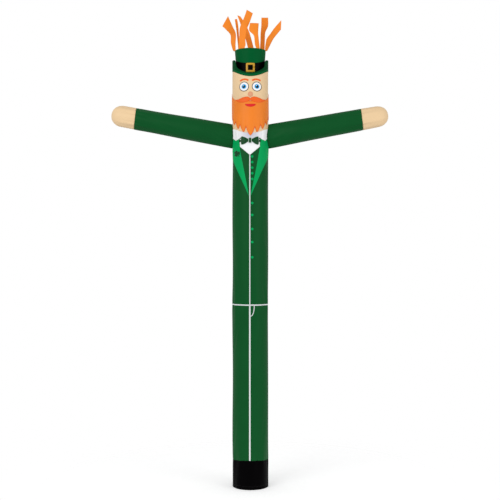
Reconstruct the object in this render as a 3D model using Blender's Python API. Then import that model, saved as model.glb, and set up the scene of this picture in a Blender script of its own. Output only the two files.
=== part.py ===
"""Inflatable air dancer: a tall tube of sewn nylon in a green suit, with arms, a hat and ribbon hair.

It stands on the open hem of its black cuff and faces -Y. Each panel of the tube, the arms and the hat is a
hollow wall of cloth in its own right. The trim is cut flat and sewn on: it lies on the facets of the wall
below it, one layer out for each piece of trim that it covers. All sizes are in metres.
"""

import math

import bmesh
import bpy
from mathutils import Vector

# Cloth
WALL = 0.002  # sewn nylon panel
TRIM = 0.0012  # appliqué cloth
GAP = 0.0003  # clearance between neighbouring pieces
SEAM_CLEARANCE = 0.001  # between trim and a seam or a corner that it stops short of
SIDES = 48  # facets round the tube and the hat
ARM_SIDES = 24  # facets round an arm

# Tube, from the floor up
TUBE_RADIUS = 0.225
HEM_HEIGHT = 0.050  # the cuff's turned-up hem, of doubled cloth
HEM_WALL = 0.003
CUFF_TOP = 0.345
WAIST = 2.315
NECK = 4.450

# Arms, which rise outwards and are flattened where they are sewn into the tube
ARM_HEIGHT = 4.459  # the arm's axis where it leaves the tube
ARM_TILT = math.radians(10.26)
ARM_ROOT_RADIUS = 0.1506
ARM_TAPER = 0.0131  # radius lost for each metre of arm
ARM_ROOT_PINCH = 0.52  # depth over height at the root
ARM_ROUND_FROM = 0.45  # distance out from the tube at which the arm is round
ARM_CLEARANCE = 0.0015  # between an arm and the trim beside it
ARM_TRIM_REACH = 0.30  # half the height over which an arm's root is trimmed to the tube
LEFT, RIGHT = -1, 1
WRIST_REACH = {LEFT: 1.477, RIGHT: 1.431}  # from the tube's axis
HAND_REACH = {LEFT: 1.769, RIGHT: 1.755}
HAND_END = 0.140  # length of the rounded end
HAND_SQUARENESS = 2.2  # exponent of its rounding, 2 for a half ball

# Hat, pulled down in front. Heights of its edges, and the exponent of their fall from the sides to the front.
# The brim stays turned up past its sides, so its fall is given there: the cosine of the angle from the front,
# and the share of the fall
BRIM_LOW = {"side": 5.282, "front": 5.188, "back": 5.282, "shape": 2.0}
BRIM_TOP = {"side": 5.420, "front": 5.237, "back": 5.430}
BRIM_TOP["falls"] = ((0.0, 0.0), (0.38, 0.03), (0.50, 0.06), (0.61, 0.40), (0.71, 0.64), (0.86, 0.85), (1, 1))
BAND_TOP = {"side": 5.424, "front": 5.360, "back": 5.455, "shape": 1.3}
BACK_SHAPE = 2.0  # exponent behind the sides, for all of them
HEAD_UNDER_BRIM = 0.022  # how far the head reaches up behind the brim
SHOULDER_RISE = 0.028  # height over which the hat draws in to its crown
SHOULDER = ((0.0, 0.0), (0.35, 0.004), (0.75, 0.026))  # share of that height, and how far in it is there
CROWN_FOOT = (0.1713, 5.250)  # radius at a height
CROWN_RIM = (0.1935, 5.549)
CROWN_SINK = 0.026  # the crown's top lies this far below its rim
CROWN_DOME = 0.012
BUCKLE_WIDTH, BUCKLE_LOW, BUCKLE_TOP = 0.114, 5.249, 5.367
BUCKLE_BAR = 0.030

# Hair: ribbons cut down to one narrow heading, which is sewn inside the crown's rim
HEADING_TOP = 5.546
HEADING_FOOT = 5.5236
RIBBON_STAND = 0.008  # the ribbons rise straight for this far
HAIR_CLOTH = 0.002

# Tapes and buttons of the suit
FRONT_LINE = -0.007  # x of the closing line of the jacket and trousers
TAPE_WIDTH = 0.019
LOWER_TAPE_WIDTH = 0.023
WAIST_TAPE = 0.023
FLY_TAPE, FLY_REACH, FLY_DROP = 0.012, 0.041, 0.122  # its width, and how far it bows out and hangs down
FLY_RUN = 0.004  # its last straight run, up to the closing tape
BUTTON_ACROSS = 0.0229
BUTTON_RADIUS = 0.017
BUTTON_THICKNESS = 0.0025
BUTTON_HEIGHTS = (4.182, 4.111, 4.042, 3.972, 3.900, 3.599, 3.449, 3.273, 3.109, 2.919)

# Outlines of the suit's trim: (x, height) of each corner, as seen from straight ahead. An x past the
# tube's radius lies so much further round behind its side
BEYOND = TUBE_RADIUS + 0.030
SHIRT_POINT = (FRONT_LINE, 4.200)
SHIRT_OUTLINE = [(-0.1345, 4.405), (-0.1280, 4.305), SHIRT_POINT, (0.1205, 4.308), (0.1215, 4.405)]
LAPEL_LEFT = [(-0.1405, 4.404), (-0.1305, 4.303), (-0.1283, 4.261), (-0.0268, 3.735), (-0.0185, 3.684)]
LAPEL_LEFT += [(-0.150, 3.978), (-TUBE_RADIUS, 4.160), (-BEYOND, 4.190), (-BEYOND, 4.415)]
LAPEL_RIGHT = [(0.1245, 4.404), (0.1225, 4.307), (0.0786, 4.058), (0.0078, 3.722), (0.0040, 3.687)]
LAPEL_RIGHT += [(TUBE_RADIUS, 4.184), (BEYOND, 4.215), (BEYOND, 4.415)]
COLLAR_LOW, COLLAR_TOP = 4.432, 4.548  # at the tube's sides and behind
COLLAR_HALF = [(0.104, 4.405), (0.119, 4.423), (0.142, 4.405), (0.185, 4.388), (TUBE_RADIUS, COLLAR_LOW)]
COLLAR_HALF += [(TUBE_RADIUS, COLLAR_TOP), (0.132, 4.504), (0.066, 4.482)]
BOW_LINE = -0.0045  # x of the bow's middle; its outlines are measured from there
BOW_HALF = [(0.014, 4.368), (0.029, 4.364), (0.050, 4.347), (0.076, 4.334), (0.100, 4.329), (0.112, 4.338)]
BOW_HALF += [(0.115, 4.366), (0.137, 4.366), (0.137, 4.395), (0.115, 4.395), (0.112, 4.430)]
BOW_HALF += [(0.100, 4.439), (0.076, 4.432), (0.050, 4.420), (0.029, 4.408), (0.014, 4.404)]
KNOT_HALF = [(0.013, 4.349), (0.020, 4.358), (0.020, 4.412), (0.013, 4.421)]
CLOVER_PLACE, CLOVER_LEAF, CLOVER_LEAN = (-0.166, 4.224), 0.043, math.radians(36)  # LEAF: its reach
LEAF_WAIST, LEAF_NOTCH, NOTCH_SPREAD = 0.30, 0.22, 20  # shares of that reach, and half a notch in degrees
STALK_HALF, STALK_FOOT, STALK_TOP = 0.12, -1.15, -0.42  # shares of the leaf's reach, from the middle

# Face
EYE_ACROSS, EYE_HEIGHT = 0.080, 5.060
EYE_RADIUS, IRIS_RADIUS = 0.060, 0.036
BROW_RADIUS, BROW_WIDTH, BROW_LEAN = 0.091, 0.020, 0.004
NOSE_HEIGHT, NOSE_RADIUS = 4.964, 0.033
BEARD_LOW = {"side": 4.745, "front": 4.545, "shape": 1.6}  # heights of the notches between its locks
BEARD_TOP = {"side": 5.005, "front": 4.880, "shape": 3.0}
BEARD_WRAP = 0.020  # how far the sideburns run on behind the tube's sides
# Locks of the beard from its middle out: where each ends, as a share of the half width, and how far it hangs
BEARD_LOCKS = ((0.15, 0.104), (0.36, 0.076), (0.58, 0.066), (0.79, 0.056), (1.0, 0.046))
LOCK_LEAN = 0.38  # how far across an outer lock its tip is, from the end nearer the middle
LOCK_CURVE = ((0.30, 0.44), (0.62, 0.78))  # shares of the way to the tip, and of the drop by there
MOUSTACHE_HALF = [(0.0, 4.886), (0.045, 4.868), (0.095, 4.860), (0.145, 4.869), (0.182, 4.904)]
MOUSTACHE_HALF += [(0.150, 4.904), (0.100, 4.923), (0.050, 4.932), (0.018, 4.926), (0.0, 4.912)]
SMILE_HEIGHT, SMILE_HALF, SMILE_DEPTH = 4.840, 0.066, 0.036


def srgb(red, green, blue):
    """A linear colour from its 8-bit values."""
    shares = (value / 255 for value in (red, green, blue))
    return tuple(v / 12.92 if v <= 0.04045 else ((v + 0.055) / 1.055) ** 2.4 for v in shares) + (1.0,)


SUIT_GREEN = srgb(26, 84, 42)
LIGHT_GREEN = srgb(18, 163, 90)
HAT_GREEN = srgb(0, 87, 44)
DARK_GREEN = srgb(22, 70, 36)
HAIR_ORANGE = srgb(246, 136, 47)
DEEP_ORANGE = srgb(247, 104, 30)
SKIN = srgb(233, 201, 160)
ROSY_SKIN = srgb(226, 160, 122)
BLACK = srgb(6, 5, 6)
WHITE = srgb(244, 244, 246)
TAPE_GREY = srgb(218, 217, 222)
GOLD = srgb(205, 154, 42)
BLUE = srgb(0, 150, 215)
RED = srgb(214, 30, 38)


# ---------------------------------------------------------------- objects and materials


def add_object(name, bm, colour, roughness=0.55, metallic=0.0):
    """Link the mesh as one object with its own material, its faces turned outwards."""
    bmesh.ops.recalc_face_normals(bm, faces=bm.faces)
    mesh = bpy.data.meshes.new(name)
    bm.to_mesh(mesh)
    bm.free()
    obj = bpy.data.objects.new(name, mesh)
    bpy.context.scene.collection.objects.link(obj)
    material = bpy.data.materials.new(name)
    material.use_nodes = True
    shader = material.node_tree.nodes["Principled BSDF"]
    shader.inputs["Base Color"].default_value = colour
    shader.inputs["Roughness"].default_value = roughness
    shader.inputs["Metallic"].default_value = metallic
    material.diffuse_color = colour
    mesh.materials.append(material)
    mesh.shade_smooth()
    mesh.set_sharp_from_angle(angle=math.radians(35))
    return obj


def as_cutter(obj):
    obj.hide_render = True
    obj.display_type = "WIRE"
    return obj


def cut_by(obj, *cutters):
    for cutter in cutters:
        modifier = obj.modifiers.new(f"clear of {cutter.name}", "BOOLEAN")
        modifier.operation = "DIFFERENCE"
        modifier.solver = "EXACT"
        modifier.object = cutter


# ---------------------------------------------------------------- walls made of rings


def facing(step):
    """Unit vector out through the corner `step` facets round from the front, counted towards +X."""
    angle = math.tau * step / SIDES
    return Vector((math.sin(angle), -math.cos(angle), 0.0))


def ring(radius, height):
    """A ring of wall corners. Radius and height are numbers, or functions of the corner."""
    corners = []
    for step in range(SIDES):
        level = height(step) if callable(height) else height
        reach = radius(level) if callable(radius) else radius
        corners.append(facing(step) * reach + Vector((0.0, 0.0, level)))
    return corners


def pole(height):
    return [Vector((0.0, 0.0, height))]


def between(stops, place):
    """Value at a place, on straight lines through stops (place, value)."""
    for (start, low), (end, high) in zip(stops, stops[1:]):
        if place <= end:
            return low + (high - low) * (place - start) / (end - start)
    return stops[-1][1]


def rising(edge, lift=0.0):
    """Height of a hat edge at each corner of the wall, lifted by so much."""

    def height(step):
        turn = math.cos(math.tau * step / SIDES)
        if turn < 0:
            end, share = edge["back"], abs(turn) ** BACK_SHAPE
        else:
            end = edge["front"]
            share = between(edge["falls"], turn) if "falls" in edge else turn ** edge["shape"]
        return edge["side"] + (end - edge["side"]) * share + lift

    return height


def wrapped(rings):
    """Mesh over rings in order: up the outside of the cloth, over its edge and down the inside.

    The last ring joins the first. A ring of one point is the closed end of the cloth.
    """
    bm = bmesh.new()
    loops = [[bm.verts.new(point) for point in points] for points in rings]
    for lower, upper in zip(loops, loops[1:] + loops[:1]):
        count = max(len(lower), len(upper))
        if count == 1:
            continue
        for i in range(count):
            j = (i + 1) % count
            corners = [loop[k % len(loop)] for loop, k in ((lower, i), (lower, j), (upper, j), (upper, i))]
            bm.faces.new(list(dict.fromkeys(corners)))
    return bm


def capped(rings):
    """Mesh of a solid bar through rings, with a flat face over each end."""
    bm = bmesh.new()
    loops = [[bm.verts.new(point) for point in points] for points in rings]
    for lower, upper in zip(loops, loops[1:]):
        for i in range(len(lower)):
            j = (i + 1) % len(lower)
            bm.faces.new((lower[i], lower[j], upper[j], upper[i]))
    bm.faces.new(loops[0])
    bm.faces.new(loops[-1])
    return bm


def level_wall(low, top, radius=TUBE_RADIUS, thickness=WALL):
    """A plain round wall between two edges."""
    inside = radius - thickness
    return wrapped([ring(radius, low), ring(radius, top), ring(inside, top), ring(inside, low)])


# ---------------------------------------------------------------- trim cut flat and laid on a wall


def tube_wall(height):
    return TUBE_RADIUS


def crown_wall(height):
    """Outer radius of the hat's crown, which widens a little towards its rim."""
    (foot_radius, foot), (rim_radius, rim) = CROWN_FOOT, CROWN_RIM
    return foot_radius + (rim_radius - foot_radius) * (height - foot) / (rim - foot)


def facet_width(radius):
    return 2 * radius * math.sin(math.pi / SIDES)


def across(x, radius=TUBE_RADIUS):
    """Distance round the facets from the front of a point seen at x. Past the side it runs on behind."""
    quarter, width = SIDES // 4, facet_width(radius)
    if abs(x) >= radius:
        return math.copysign(quarter * width + abs(x) - radius, x)
    step = math.floor(math.asin(x / radius) / math.tau * SIDES)
    low, high = (radius * facing(s).x for s in (step, step + 1))
    return (step + (x - low) / (high - low)) * width


def seen(corners, radius=TUBE_RADIUS):
    """Flat outline of a shape given as seen from the front, with a point at each facet edge it crosses."""
    edges = [radius * facing(step).x for step in range(-SIDES // 4, SIDES // 4 + 1)]
    outline = []
    for (x0, z0), (x1, z1) in zip(corners, corners[1:] + corners[:1]):
        shares = [0.0]
        if x0 != x1:
            shares += sorted(s for s in ((edge - x0) / (x1 - x0) for edge in edges) if 0.001 < s < 0.999)
        outline += [(across(x0 + (x1 - x0) * s, radius), z0 + (z1 - z0) * s) for s in shares]
    return outline


def disc(x, height, radius, points=12):
    """Corners of a round, as seen from the front."""
    angles = (math.tau * (i + 0.5) / points for i in range(points))
    return [(x + radius * math.cos(a), height + radius * math.sin(a)) for a in angles]


def both_halves(half, line=0.0):
    """Closed outline from its half on the +X side, measured from the line that it is mirrored in."""
    other = [(line - x, z) for x, z in reversed(half) if x > 0]
    return [(line + x, z) for x, z in half] + other


def strip(line, width):
    """Corners of a tape of even width along a line, as seen from the front."""
    left, right = [], []
    for i, (x, z) in enumerate(line):
        (xa, za), (xb, zb) = line[max(i - 1, 0)], line[min(i + 1, len(line) - 1)]
        length = math.hypot(xb - xa, zb - za)
        nx, nz = (zb - za) / length * width / 2, -(xb - xa) / length * width / 2
        left.append((x + nx, z + nz))
        right.append((x - nx, z - nz))
    return left + right[::-1]


def laid(outlines, layer, wall=tube_wall, thickness=TRIM):
    """Mesh of trim cut to flat outlines that share their edges, bent along the wall's facet edges.

    An outline's points are (distance round the wall, height). Layer 0 lies on the wall itself.
    """
    flat = bmesh.new()
    places = dict.fromkeys(point for outline in outlines for point in outline)
    corners = {place: flat.verts.new((*place, 0.0)) for place in places}
    for outline in outlines:
        flat.faces.new([corners[place] for place in outline])
    middle = sum(height for _, height in corners) / len(corners)
    width = facet_width(wall(middle))
    furthest = max(abs(distance) for distance, _ in corners)
    for step in range(-math.ceil(furthest / width), math.ceil(furthest / width) + 1):
        geometry = flat.verts[:] + flat.edges[:] + flat.faces[:]
        line = (step * width, 0.0, 0.0)
        bmesh.ops.bisect_plane(flat, geom=geometry, dist=1e-5, plane_co=line, plane_no=(1.0, 0.0, 0.0))
    lowest = GAP + layer * (TRIM + GAP)
    bm = bmesh.new()
    lower, upper = {}, {}
    for vert in flat.verts:
        turn = vert.co.x / width
        step = math.floor(turn + 1e-4)
        out = facing(step).lerp(facing(step + 1), max(turn - step, 0.0))
        base, lift = wall(vert.co.y) + lowest, Vector((0.0, 0.0, vert.co.y))
        lower[vert] = bm.verts.new(out * base + lift)
        upper[vert] = bm.verts.new(out * (base + thickness) + lift)
    for face in flat.faces:
        bm.faces.new([upper[vert] for vert in face.verts])
        bm.faces.new([lower[vert] for vert in reversed(face.verts)])
    for edge in flat.edges:
        if edge.is_boundary:
            first, second = edge.verts
            bm.faces.new((upper[first], upper[second], lower[second], lower[first]))
    flat.free()
    return bm


# ---------------------------------------------------------------- the tube's panels


def add_cuff():
    """Black foot of the tube, its lower edge turned up and sewn down into a hem."""
    inside = TUBE_RADIUS - WALL
    rings = [
        ring(TUBE_RADIUS, 0.0),
        ring(TUBE_RADIUS, CUFF_TOP),
        ring(inside, CUFF_TOP),
        ring(inside, HEM_HEIGHT),
        ring(TUBE_RADIUS - HEM_WALL, HEM_HEIGHT - WALL),
        ring(TUBE_RADIUS - HEM_WALL, 0.0),
    ]
    add_object("base_cuff", wrapped(rings), BLACK)


def add_tube_panels(arm_holes):
    """Trousers, jacket and head, one above the other. The arms open into the jacket and the head."""
    add_object("trouser_tube", level_wall(CUFF_TOP + GAP, WAIST), SUIT_GREEN)
    jacket = add_object("jacket_tube", level_wall(WAIST + GAP, NECK), SUIT_GREEN)
    head = add_object("head_tube", level_wall(NECK + GAP, rising(BRIM_LOW, HEAD_UNDER_BRIM)), SKIN)
    for panel in (jacket, head):
        cut_by(panel, *arm_holes.values())


# ---------------------------------------------------------------- arms and hands


def arm_radius(along):
    return ARM_ROOT_RADIUS - ARM_TAPER * along


def arm_ring(side, along, height, depth):
    """Section square to an arm's axis, `along` metres out from the tube's side, with half its size given."""
    axis = Vector((side * math.cos(ARM_TILT), 0.0, math.sin(ARM_TILT)))
    up = Vector((-side * math.sin(ARM_TILT), 0.0, math.cos(ARM_TILT)))
    centre = Vector((side * TUBE_RADIUS, 0.0, ARM_HEIGHT)) + axis * along
    angles = (math.tau * i / ARM_SIDES for i in range(ARM_SIDES))
    return [centre + up * height * math.cos(a) + Vector((0.0, depth * math.sin(a), 0.0)) for a in angles]


def sleeve_ring(side, along, outset=0.0):
    """Section of a sleeve, flattened front to back near the tube, and grown by outset."""
    share = min(max(along / ARM_ROUND_FROM, 0.0), 1.0)
    pinch = ARM_ROOT_PINCH + (1 - ARM_ROOT_PINCH) * share * share * (3 - 2 * share)
    radius = arm_radius(along)
    return arm_ring(side, along, radius + outset, radius * pinch + outset)


def along_arm(reach):
    """Distance out along an arm of the point that far from the tube's axis."""
    return (reach - TUBE_RADIUS) / math.cos(ARM_TILT)


def arm_core(side, outset, name):
    """Solid bar in the shape of the arm's root, from inside the tube to a little way out of it."""
    stations = (-0.12, 0.0, 0.10, 0.20)
    return as_cutter(add_object(name, capped([sleeve_ring(side, s, outset) for s in stations]), WHITE))


def add_sleeve(side, name, tube_core):
    """Green arm, open at both ends. Its root is trimmed to the tube's wall round the arm hole."""
    wrist = along_arm(WRIST_REACH[side]) - GAP / 2
    stations = (-0.10, 0.0, 0.06, 0.12, 0.18, 0.24, 0.30, 0.37, ARM_ROUND_FROM, wrist)
    outside = [sleeve_ring(side, s) for s in stations]
    inside = [sleeve_ring(side, s, -WALL) for s in reversed(stations)]
    cut_by(add_object(name, wrapped(outside + inside), SUIT_GREEN), tube_core)


def add_hand(side, name):
    """Mitten end of the arm, open to the sleeve, with a rounded tip."""
    wrist, tip = along_arm(WRIST_REACH[side]) + GAP / 2, along_arm(HAND_REACH[side])
    radius = arm_radius(wrist)

    def rounded(inset):
        rings = [arm_ring(side, wrist, radius - inset, radius - inset)]
        for share in (0.0, 0.35, 0.62, 0.82, 0.94):
            size = (1 - share**HAND_SQUARENESS) ** (1 / HAND_SQUARENESS) * (radius - inset)
            rings.append(arm_ring(side, tip - HAND_END + share * (HAND_END - inset), size, size))
        return rings + [arm_ring(side, tip - inset, 0.0, 0.0)[:1]]

    add_object(name, wrapped(rounded(0.0) + rounded(WALL)[::-1]), SKIN)


# ---------------------------------------------------------------- hat and hair


def hat_rings(inset, top):
    """The hat's wall from its foot at the head, over the shoulder and up to its top, moved in by inset."""

    def crown(level):
        return crown_wall(level) - inset

    foot = HEAD_UNDER_BRIM + GAP
    rings = []
    for share, drawn_in in SHOULDER:
        lift = foot + share * SHOULDER_RISE - (inset if share else 0.0)
        rings.append(ring(TUBE_RADIUS - drawn_in - inset, rising(BRIM_LOW, lift)))
    return rings + [ring(crown, rising(BRIM_LOW, foot + SHOULDER_RISE - inset)), ring(crown, top)]


def add_hat():
    """Crown with a sunk top, its band and buckle, and the upturned brim outside the tube."""
    rim = CROWN_RIM[1]
    sunk = rim - CROWN_SINK

    def inner_wall(level):
        return crown_wall(level) - WALL

    top = [ring(inner_wall, rim), ring(inner_wall, sunk)]
    top += [pole(sunk + CROWN_DOME), pole(sunk + CROWN_DOME - WALL)]
    crown = hat_rings(0.0, rim) + top + hat_rings(WALL, sunk - WALL)[::-1]
    add_object("hat_crown", wrapped(crown), HAT_GREEN)

    def band(outset, edge):
        return ring(lambda level: crown_wall(level) + outset, edge)

    above_shoulder = HEAD_UNDER_BRIM + GAP + SHOULDER_RISE + SEAM_CLEARANCE
    low, top = rising(BRIM_LOW, above_shoulder), rising(BAND_TOP)
    outside = [band(GAP + TRIM, low), band(GAP + TRIM, top)]
    add_object("hat_band", wrapped(outside + [band(GAP, top), band(GAP, low)]), BLACK, 0.4)

    brim = level_wall(rising(BRIM_LOW), rising(BRIM_TOP), TUBE_RADIUS + GAP + WALL)
    add_object("hat_brim", brim, HAT_GREEN)
    add_object("buckle", laid(buckle_frame(), 1, crown_wall), GOLD, 0.35, 0.2)


def buckle_frame():
    """Outlines of the eight parts of a square frame, all but the middle of three by three."""
    radius = crown_wall((BUCKLE_LOW + BUCKLE_TOP) / 2)
    half = BUCKLE_WIDTH / 2
    columns = [across(x, radius) for x in (-half, BUCKLE_BAR - half, half - BUCKLE_BAR, half)]
    rows = [BUCKLE_LOW, BUCKLE_LOW + BUCKLE_BAR, BUCKLE_TOP - BUCKLE_BAR, BUCKLE_TOP]
    return [
        [(left, low), (right, low), (right, top), (left, top)]
        for left, right in zip(columns, columns[1:])
        for low, top in zip(rows, rows[1:])
        if (left, low) != (columns[1], rows[1])
    ]


# Each ribbon rises from so many facets of the heading, starting at a corner. `cut` slants its end, in
# degrees, and `course` is its way up: x, y, z, width, and the angle in plan of that width, from +X
RIBBONS = (
    {
        "first": -14,
        "facets": 3,
        "cut": 29,
        "course": (
            (-0.205, 0.000, 5.564, 0.054, -50),
            (-0.218, 0.000, 5.665, 0.070, -30),
            (-0.221, 0.000, 5.767, 0.072, -10),
            (-0.266, -0.005, 5.840, 0.092, 0),
            (-0.321, -0.010, 5.930, 0.130, 5),
        ),
    },
    {
        "first": -18,
        "facets": 1,
        "cut": -5,
        "course": (
            (-0.152, 0.128, 5.640, 0.020, -150),
            (-0.159, 0.124, 5.773, 0.026, -165),
            (-0.173, 0.120, 5.904, 0.032, -172),
            (-0.186, 0.118, 5.987, 0.029, -175),
        ),
    },
    {
        "first": -7,
        "facets": 4,
        "cut": -12,
        "course": (
            (-0.104, -0.156, 5.600, 0.098, -26),
            (-0.102, -0.158, 5.680, 0.084, -20),
            (-0.089, -0.158, 5.797, 0.095, -12),
            (-0.045, -0.158, 5.907, 0.089, -6),
            (-0.007, -0.156, 6.014, 0.088, -3),
        ),
    },
    {
        "first": 22,
        "facets": 3,
        "cut": 47,
        "course": (
            (0.004, 0.190, 5.632, 0.072, 180),
            (-0.029, 0.192, 5.761, 0.073, 180),
            (-0.066, 0.191, 5.863, 0.073, 180),
            (-0.109, 0.190, 5.964, 0.052, 180),
            (-0.150, 0.186, 6.046, 0.028, 180),
        ),
    },
    {
        "first": 3,
        "facets": 2,
        "cut": 3,
        "course": (
            (0.085, -0.172, 5.600, 0.060, 22),
            (0.071, -0.184, 5.710, 0.059, 12),
            (0.043, -0.190, 5.776, 0.116, 6),
            (0.050, -0.196, 5.860, 0.110, 3),
        ),
    },
    {
        "first": 15,
        "facets": 3,
        "cut": 0,
        "course": (
            (0.156, 0.122, 5.630, 0.072, 145),
            (0.162, 0.120, 5.801, 0.060, 162),
            (0.184, 0.116, 5.898, 0.089, 172),
            (0.186, 0.112, 6.004, 0.086, 176),
        ),
    },
    {
        "first": 11,
        "facets": 2,
        "cut": -51,
        "course": (
            (0.202, 0.000, 5.564, 0.052, 50),
            (0.217, 0.000, 5.616, 0.062, 32),
            (0.240, -0.004, 5.684, 0.078, 16),
            (0.282, -0.008, 5.747, 0.070, 8),
            (0.336, -0.012, 5.817, 0.076, 4),
            (0.392, -0.014, 5.881, 0.075, 0),
        ),
    },
)


def heading_radius():
    """The heading lies against the inside of the crown's wall, which is narrowest at the heading's foot."""
    return crown_wall(HEADING_FOOT) - WALL - GAP


def ribbon_sections(ribbon):
    """Sections of one ribbon above its root: a row of points on its outer face and one on its inner."""
    start = facing(ribbon["first"] + ribbon["facets"] / 2) * heading_radius()
    spine = [Vector((start.x, start.y, HEADING_TOP + RIBBON_STAND))]
    spine += [Vector(row[:3]) for row in ribbon["course"]]
    sections = []
    for i, (*_, width, plan) in enumerate(ribbon["course"], 1):
        rise = (spine[min(i + 1, len(spine) - 1)] - spine[i - 1]).normalized()
        level = Vector((math.cos(math.radians(plan)), math.sin(math.radians(plan)), 0.0))
        breadth = (level - rise * level.dot(rise)).normalized()
        out = breadth.cross(rise)
        if i == len(ribbon["course"]):
            slant = math.radians(ribbon["cut"])
            breadth = (breadth * math.cos(slant) + rise * math.sin(slant)) / math.cos(slant)
        shares = [j / ribbon["facets"] - 0.5 for j in range(ribbon["facets"] + 1)]
        line = [spine[i] + breadth * width * share for share in shares]
        sections.append([[p + out * side * HAIR_CLOTH / 2 for p in line] for side in (1, -1)])
    return sections


def add_hair():
    """All the ribbons and their heading, one piece of cloth slit from the top down."""
    bm = bmesh.new()
    radii = (heading_radius(), heading_radius() - HAIR_CLOTH)
    foot, top = (
        [[bm.verts.new(facing(s) * r + Vector((0, 0, z))) for s in range(SIDES)] for r in radii]
        for z in (HEADING_FOOT, HEADING_TOP)
    )
    slit_open = set(range(SIDES))
    for ribbon in RIBBONS:
        corners = [(ribbon["first"] + j) % SIDES for j in range(ribbon["facets"] + 1)]
        slit_open -= set(corners[:-1])
        root = Vector((0.0, 0.0, HEADING_TOP + RIBBON_STAND))
        stand = [[facing(c) * r + root for c in corners] for r in radii]
        below = [[side[c] for c in corners] for side in top]
        for section in [stand, *ribbon_sections(ribbon)]:
            above = [[bm.verts.new(point) for point in row] for row in section]
            # Both skins of a twisted stretch are split along the same diagonal, so that they can't cross.
            for j in range(len(corners) - 1):
                bm.faces.new((below[0][j], below[0][j + 1], above[0][j + 1]))
                bm.faces.new((below[0][j], above[0][j + 1], above[0][j]))
                bm.faces.new((below[1][j + 1], below[1][j], above[1][j + 1]))
                bm.faces.new((above[1][j + 1], below[1][j], above[1][j]))
            for j in (0, -1):
                bm.faces.new((below[0][j], above[0][j], above[1][j], below[1][j]))
            below = above
        for j in range(len(corners) - 1):
            bm.faces.new((below[0][j], below[0][j + 1], below[1][j + 1], below[1][j]))
    for s in range(SIDES):
        n = (s + 1) % SIDES
        bm.faces.new((foot[0][s], foot[0][n], top[0][n], top[0][s]))
        bm.faces.new((foot[1][s], foot[1][n], top[1][n], top[1][s]))
        bm.faces.new((foot[0][s], foot[0][n], foot[1][n], foot[1][s]))
        if s in slit_open:
            bm.faces.new((top[0][s], top[0][n], top[1][n], top[1][s]))
    add_object("hair_fringe", bm, HAIR_ORANGE)


# ---------------------------------------------------------------- suit trim


def add_tapes():
    """White tapes over the waist seam, down the closing line, and round the fly."""
    half = WAIST_TAPE / 2
    outer = TUBE_RADIUS + GAP + TRIM
    add_object("waist_tape", level_wall(WAIST - half, WAIST + half, outer, TRIM), TAPE_GREY)
    runs = {
        "front_tape_upper": (WAIST + half + GAP, SHIRT_POINT[1] - SEAM_CLEARANCE, TAPE_WIDTH),
        "front_tape_lower": (CUFF_TOP + SEAM_CLEARANCE, WAIST - half - GAP, LOWER_TAPE_WIDTH),
    }
    for name, (low, top, width) in runs.items():
        add_object(name, laid([seen(strip([(FRONT_LINE, low), (FRONT_LINE, top)], width))], 0), TAPE_GREY)
    beside_tape = FRONT_LINE + LOWER_TAPE_WIDTH / 2 + GAP
    bow_x, bow_z = beside_tape + FLY_RUN, WAIST - half - SEAM_CLEARANCE - GAP
    turns = [math.radians(degrees) for degrees in (0, 18, 36, 54, 68, 80, 90)]
    fly = [(bow_x + FLY_REACH * math.cos(a), bow_z - FLY_DROP * math.sin(a)) for a in turns]
    fly.append((beside_tape, bow_z - FLY_DROP))
    add_object("fly_tape", laid([seen(strip(fly, FLY_TAPE))], 0), TAPE_GREY)


def add_shirt_and_lapels(arm_clearances):
    """White shirt front between the lapels, which wrap round to the arms and run down to a point."""
    add_object("shirt_front", laid([seen(SHIRT_OUTLINE)], 0), WHITE)
    for name, side, corners in (("lapel_left", LEFT, LAPEL_LEFT), ("lapel_right", RIGHT, LAPEL_RIGHT)):
        cut_by(add_object(name, laid([seen(corners)], 0), LIGHT_GREEN), arm_clearances[side])


def add_collar(arm_clearances):
    """Shirt collar in two halves between the arms: winged points over the lapels, a plain band behind."""
    start, end = across(TUBE_RADIUS), 3 * across(TUBE_RADIUS)
    back = [(start, COLLAR_LOW), (end, COLLAR_LOW), (end, COLLAR_TOP), (start, COLLAR_TOP)]
    halves = {"collar_front": (seen(both_halves(COLLAR_HALF)), 1), "collar_back": (back, 0)}
    for name, (outline, layer) in halves.items():
        cut_by(add_object(name, laid([outline], layer), WHITE), *arm_clearances.values())


def add_bow_tie():
    """Flat bow on its band, with the knot sewn over the middle."""
    add_object("bow_tie", laid([seen(both_halves(BOW_HALF, BOW_LINE))], 2), DARK_GREEN)
    add_object("bow_knot", laid([seen(both_halves(KNOT_HALF, BOW_LINE))], 3), DARK_GREEN)


def add_buttons():
    for number, height in enumerate(BUTTON_HEIGHTS, 1):
        outline = seen(disc(BUTTON_ACROSS, height, BUTTON_RADIUS))
        add_object(f"button_{number:02d}", laid([outline], 0, thickness=BUTTON_THICKNESS), LIGHT_GREEN)


def add_clover():
    """Three heart-shaped leaves and a stalk, sewn on the wearer's right lapel."""
    outline = [(STALK_HALF, STALK_FOOT), (STALK_HALF, STALK_TOP)]
    for degrees in range(-70, 251, 10):
        from_leaf = (degrees + 90) % 120 - 60
        lobe = LEAF_WAIST + (1 - LEAF_WAIST) * max(0.0, math.cos(math.radians(1.5 * from_leaf))) ** 0.5
        notch = LEAF_NOTCH * max(0.0, 1 - abs(from_leaf) / NOTCH_SPREAD)
        angle = math.radians(degrees)
        outline.append(((lobe - notch) * math.cos(angle), (lobe - notch) * math.sin(angle)))
    outline += [(-STALK_HALF, STALK_TOP), (-STALK_HALF, STALK_FOOT)]
    centre_x, centre_z = CLOVER_PLACE
    turn_x, turn_z = CLOVER_LEAF * math.cos(CLOVER_LEAN), CLOVER_LEAF * math.sin(CLOVER_LEAN)
    leaning = [(centre_x + x * turn_x - z * turn_z, centre_z + x * turn_z + z * turn_x) for x, z in outline]
    add_object("clover", laid([seen(leaning)], 1), DARK_GREEN)


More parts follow.
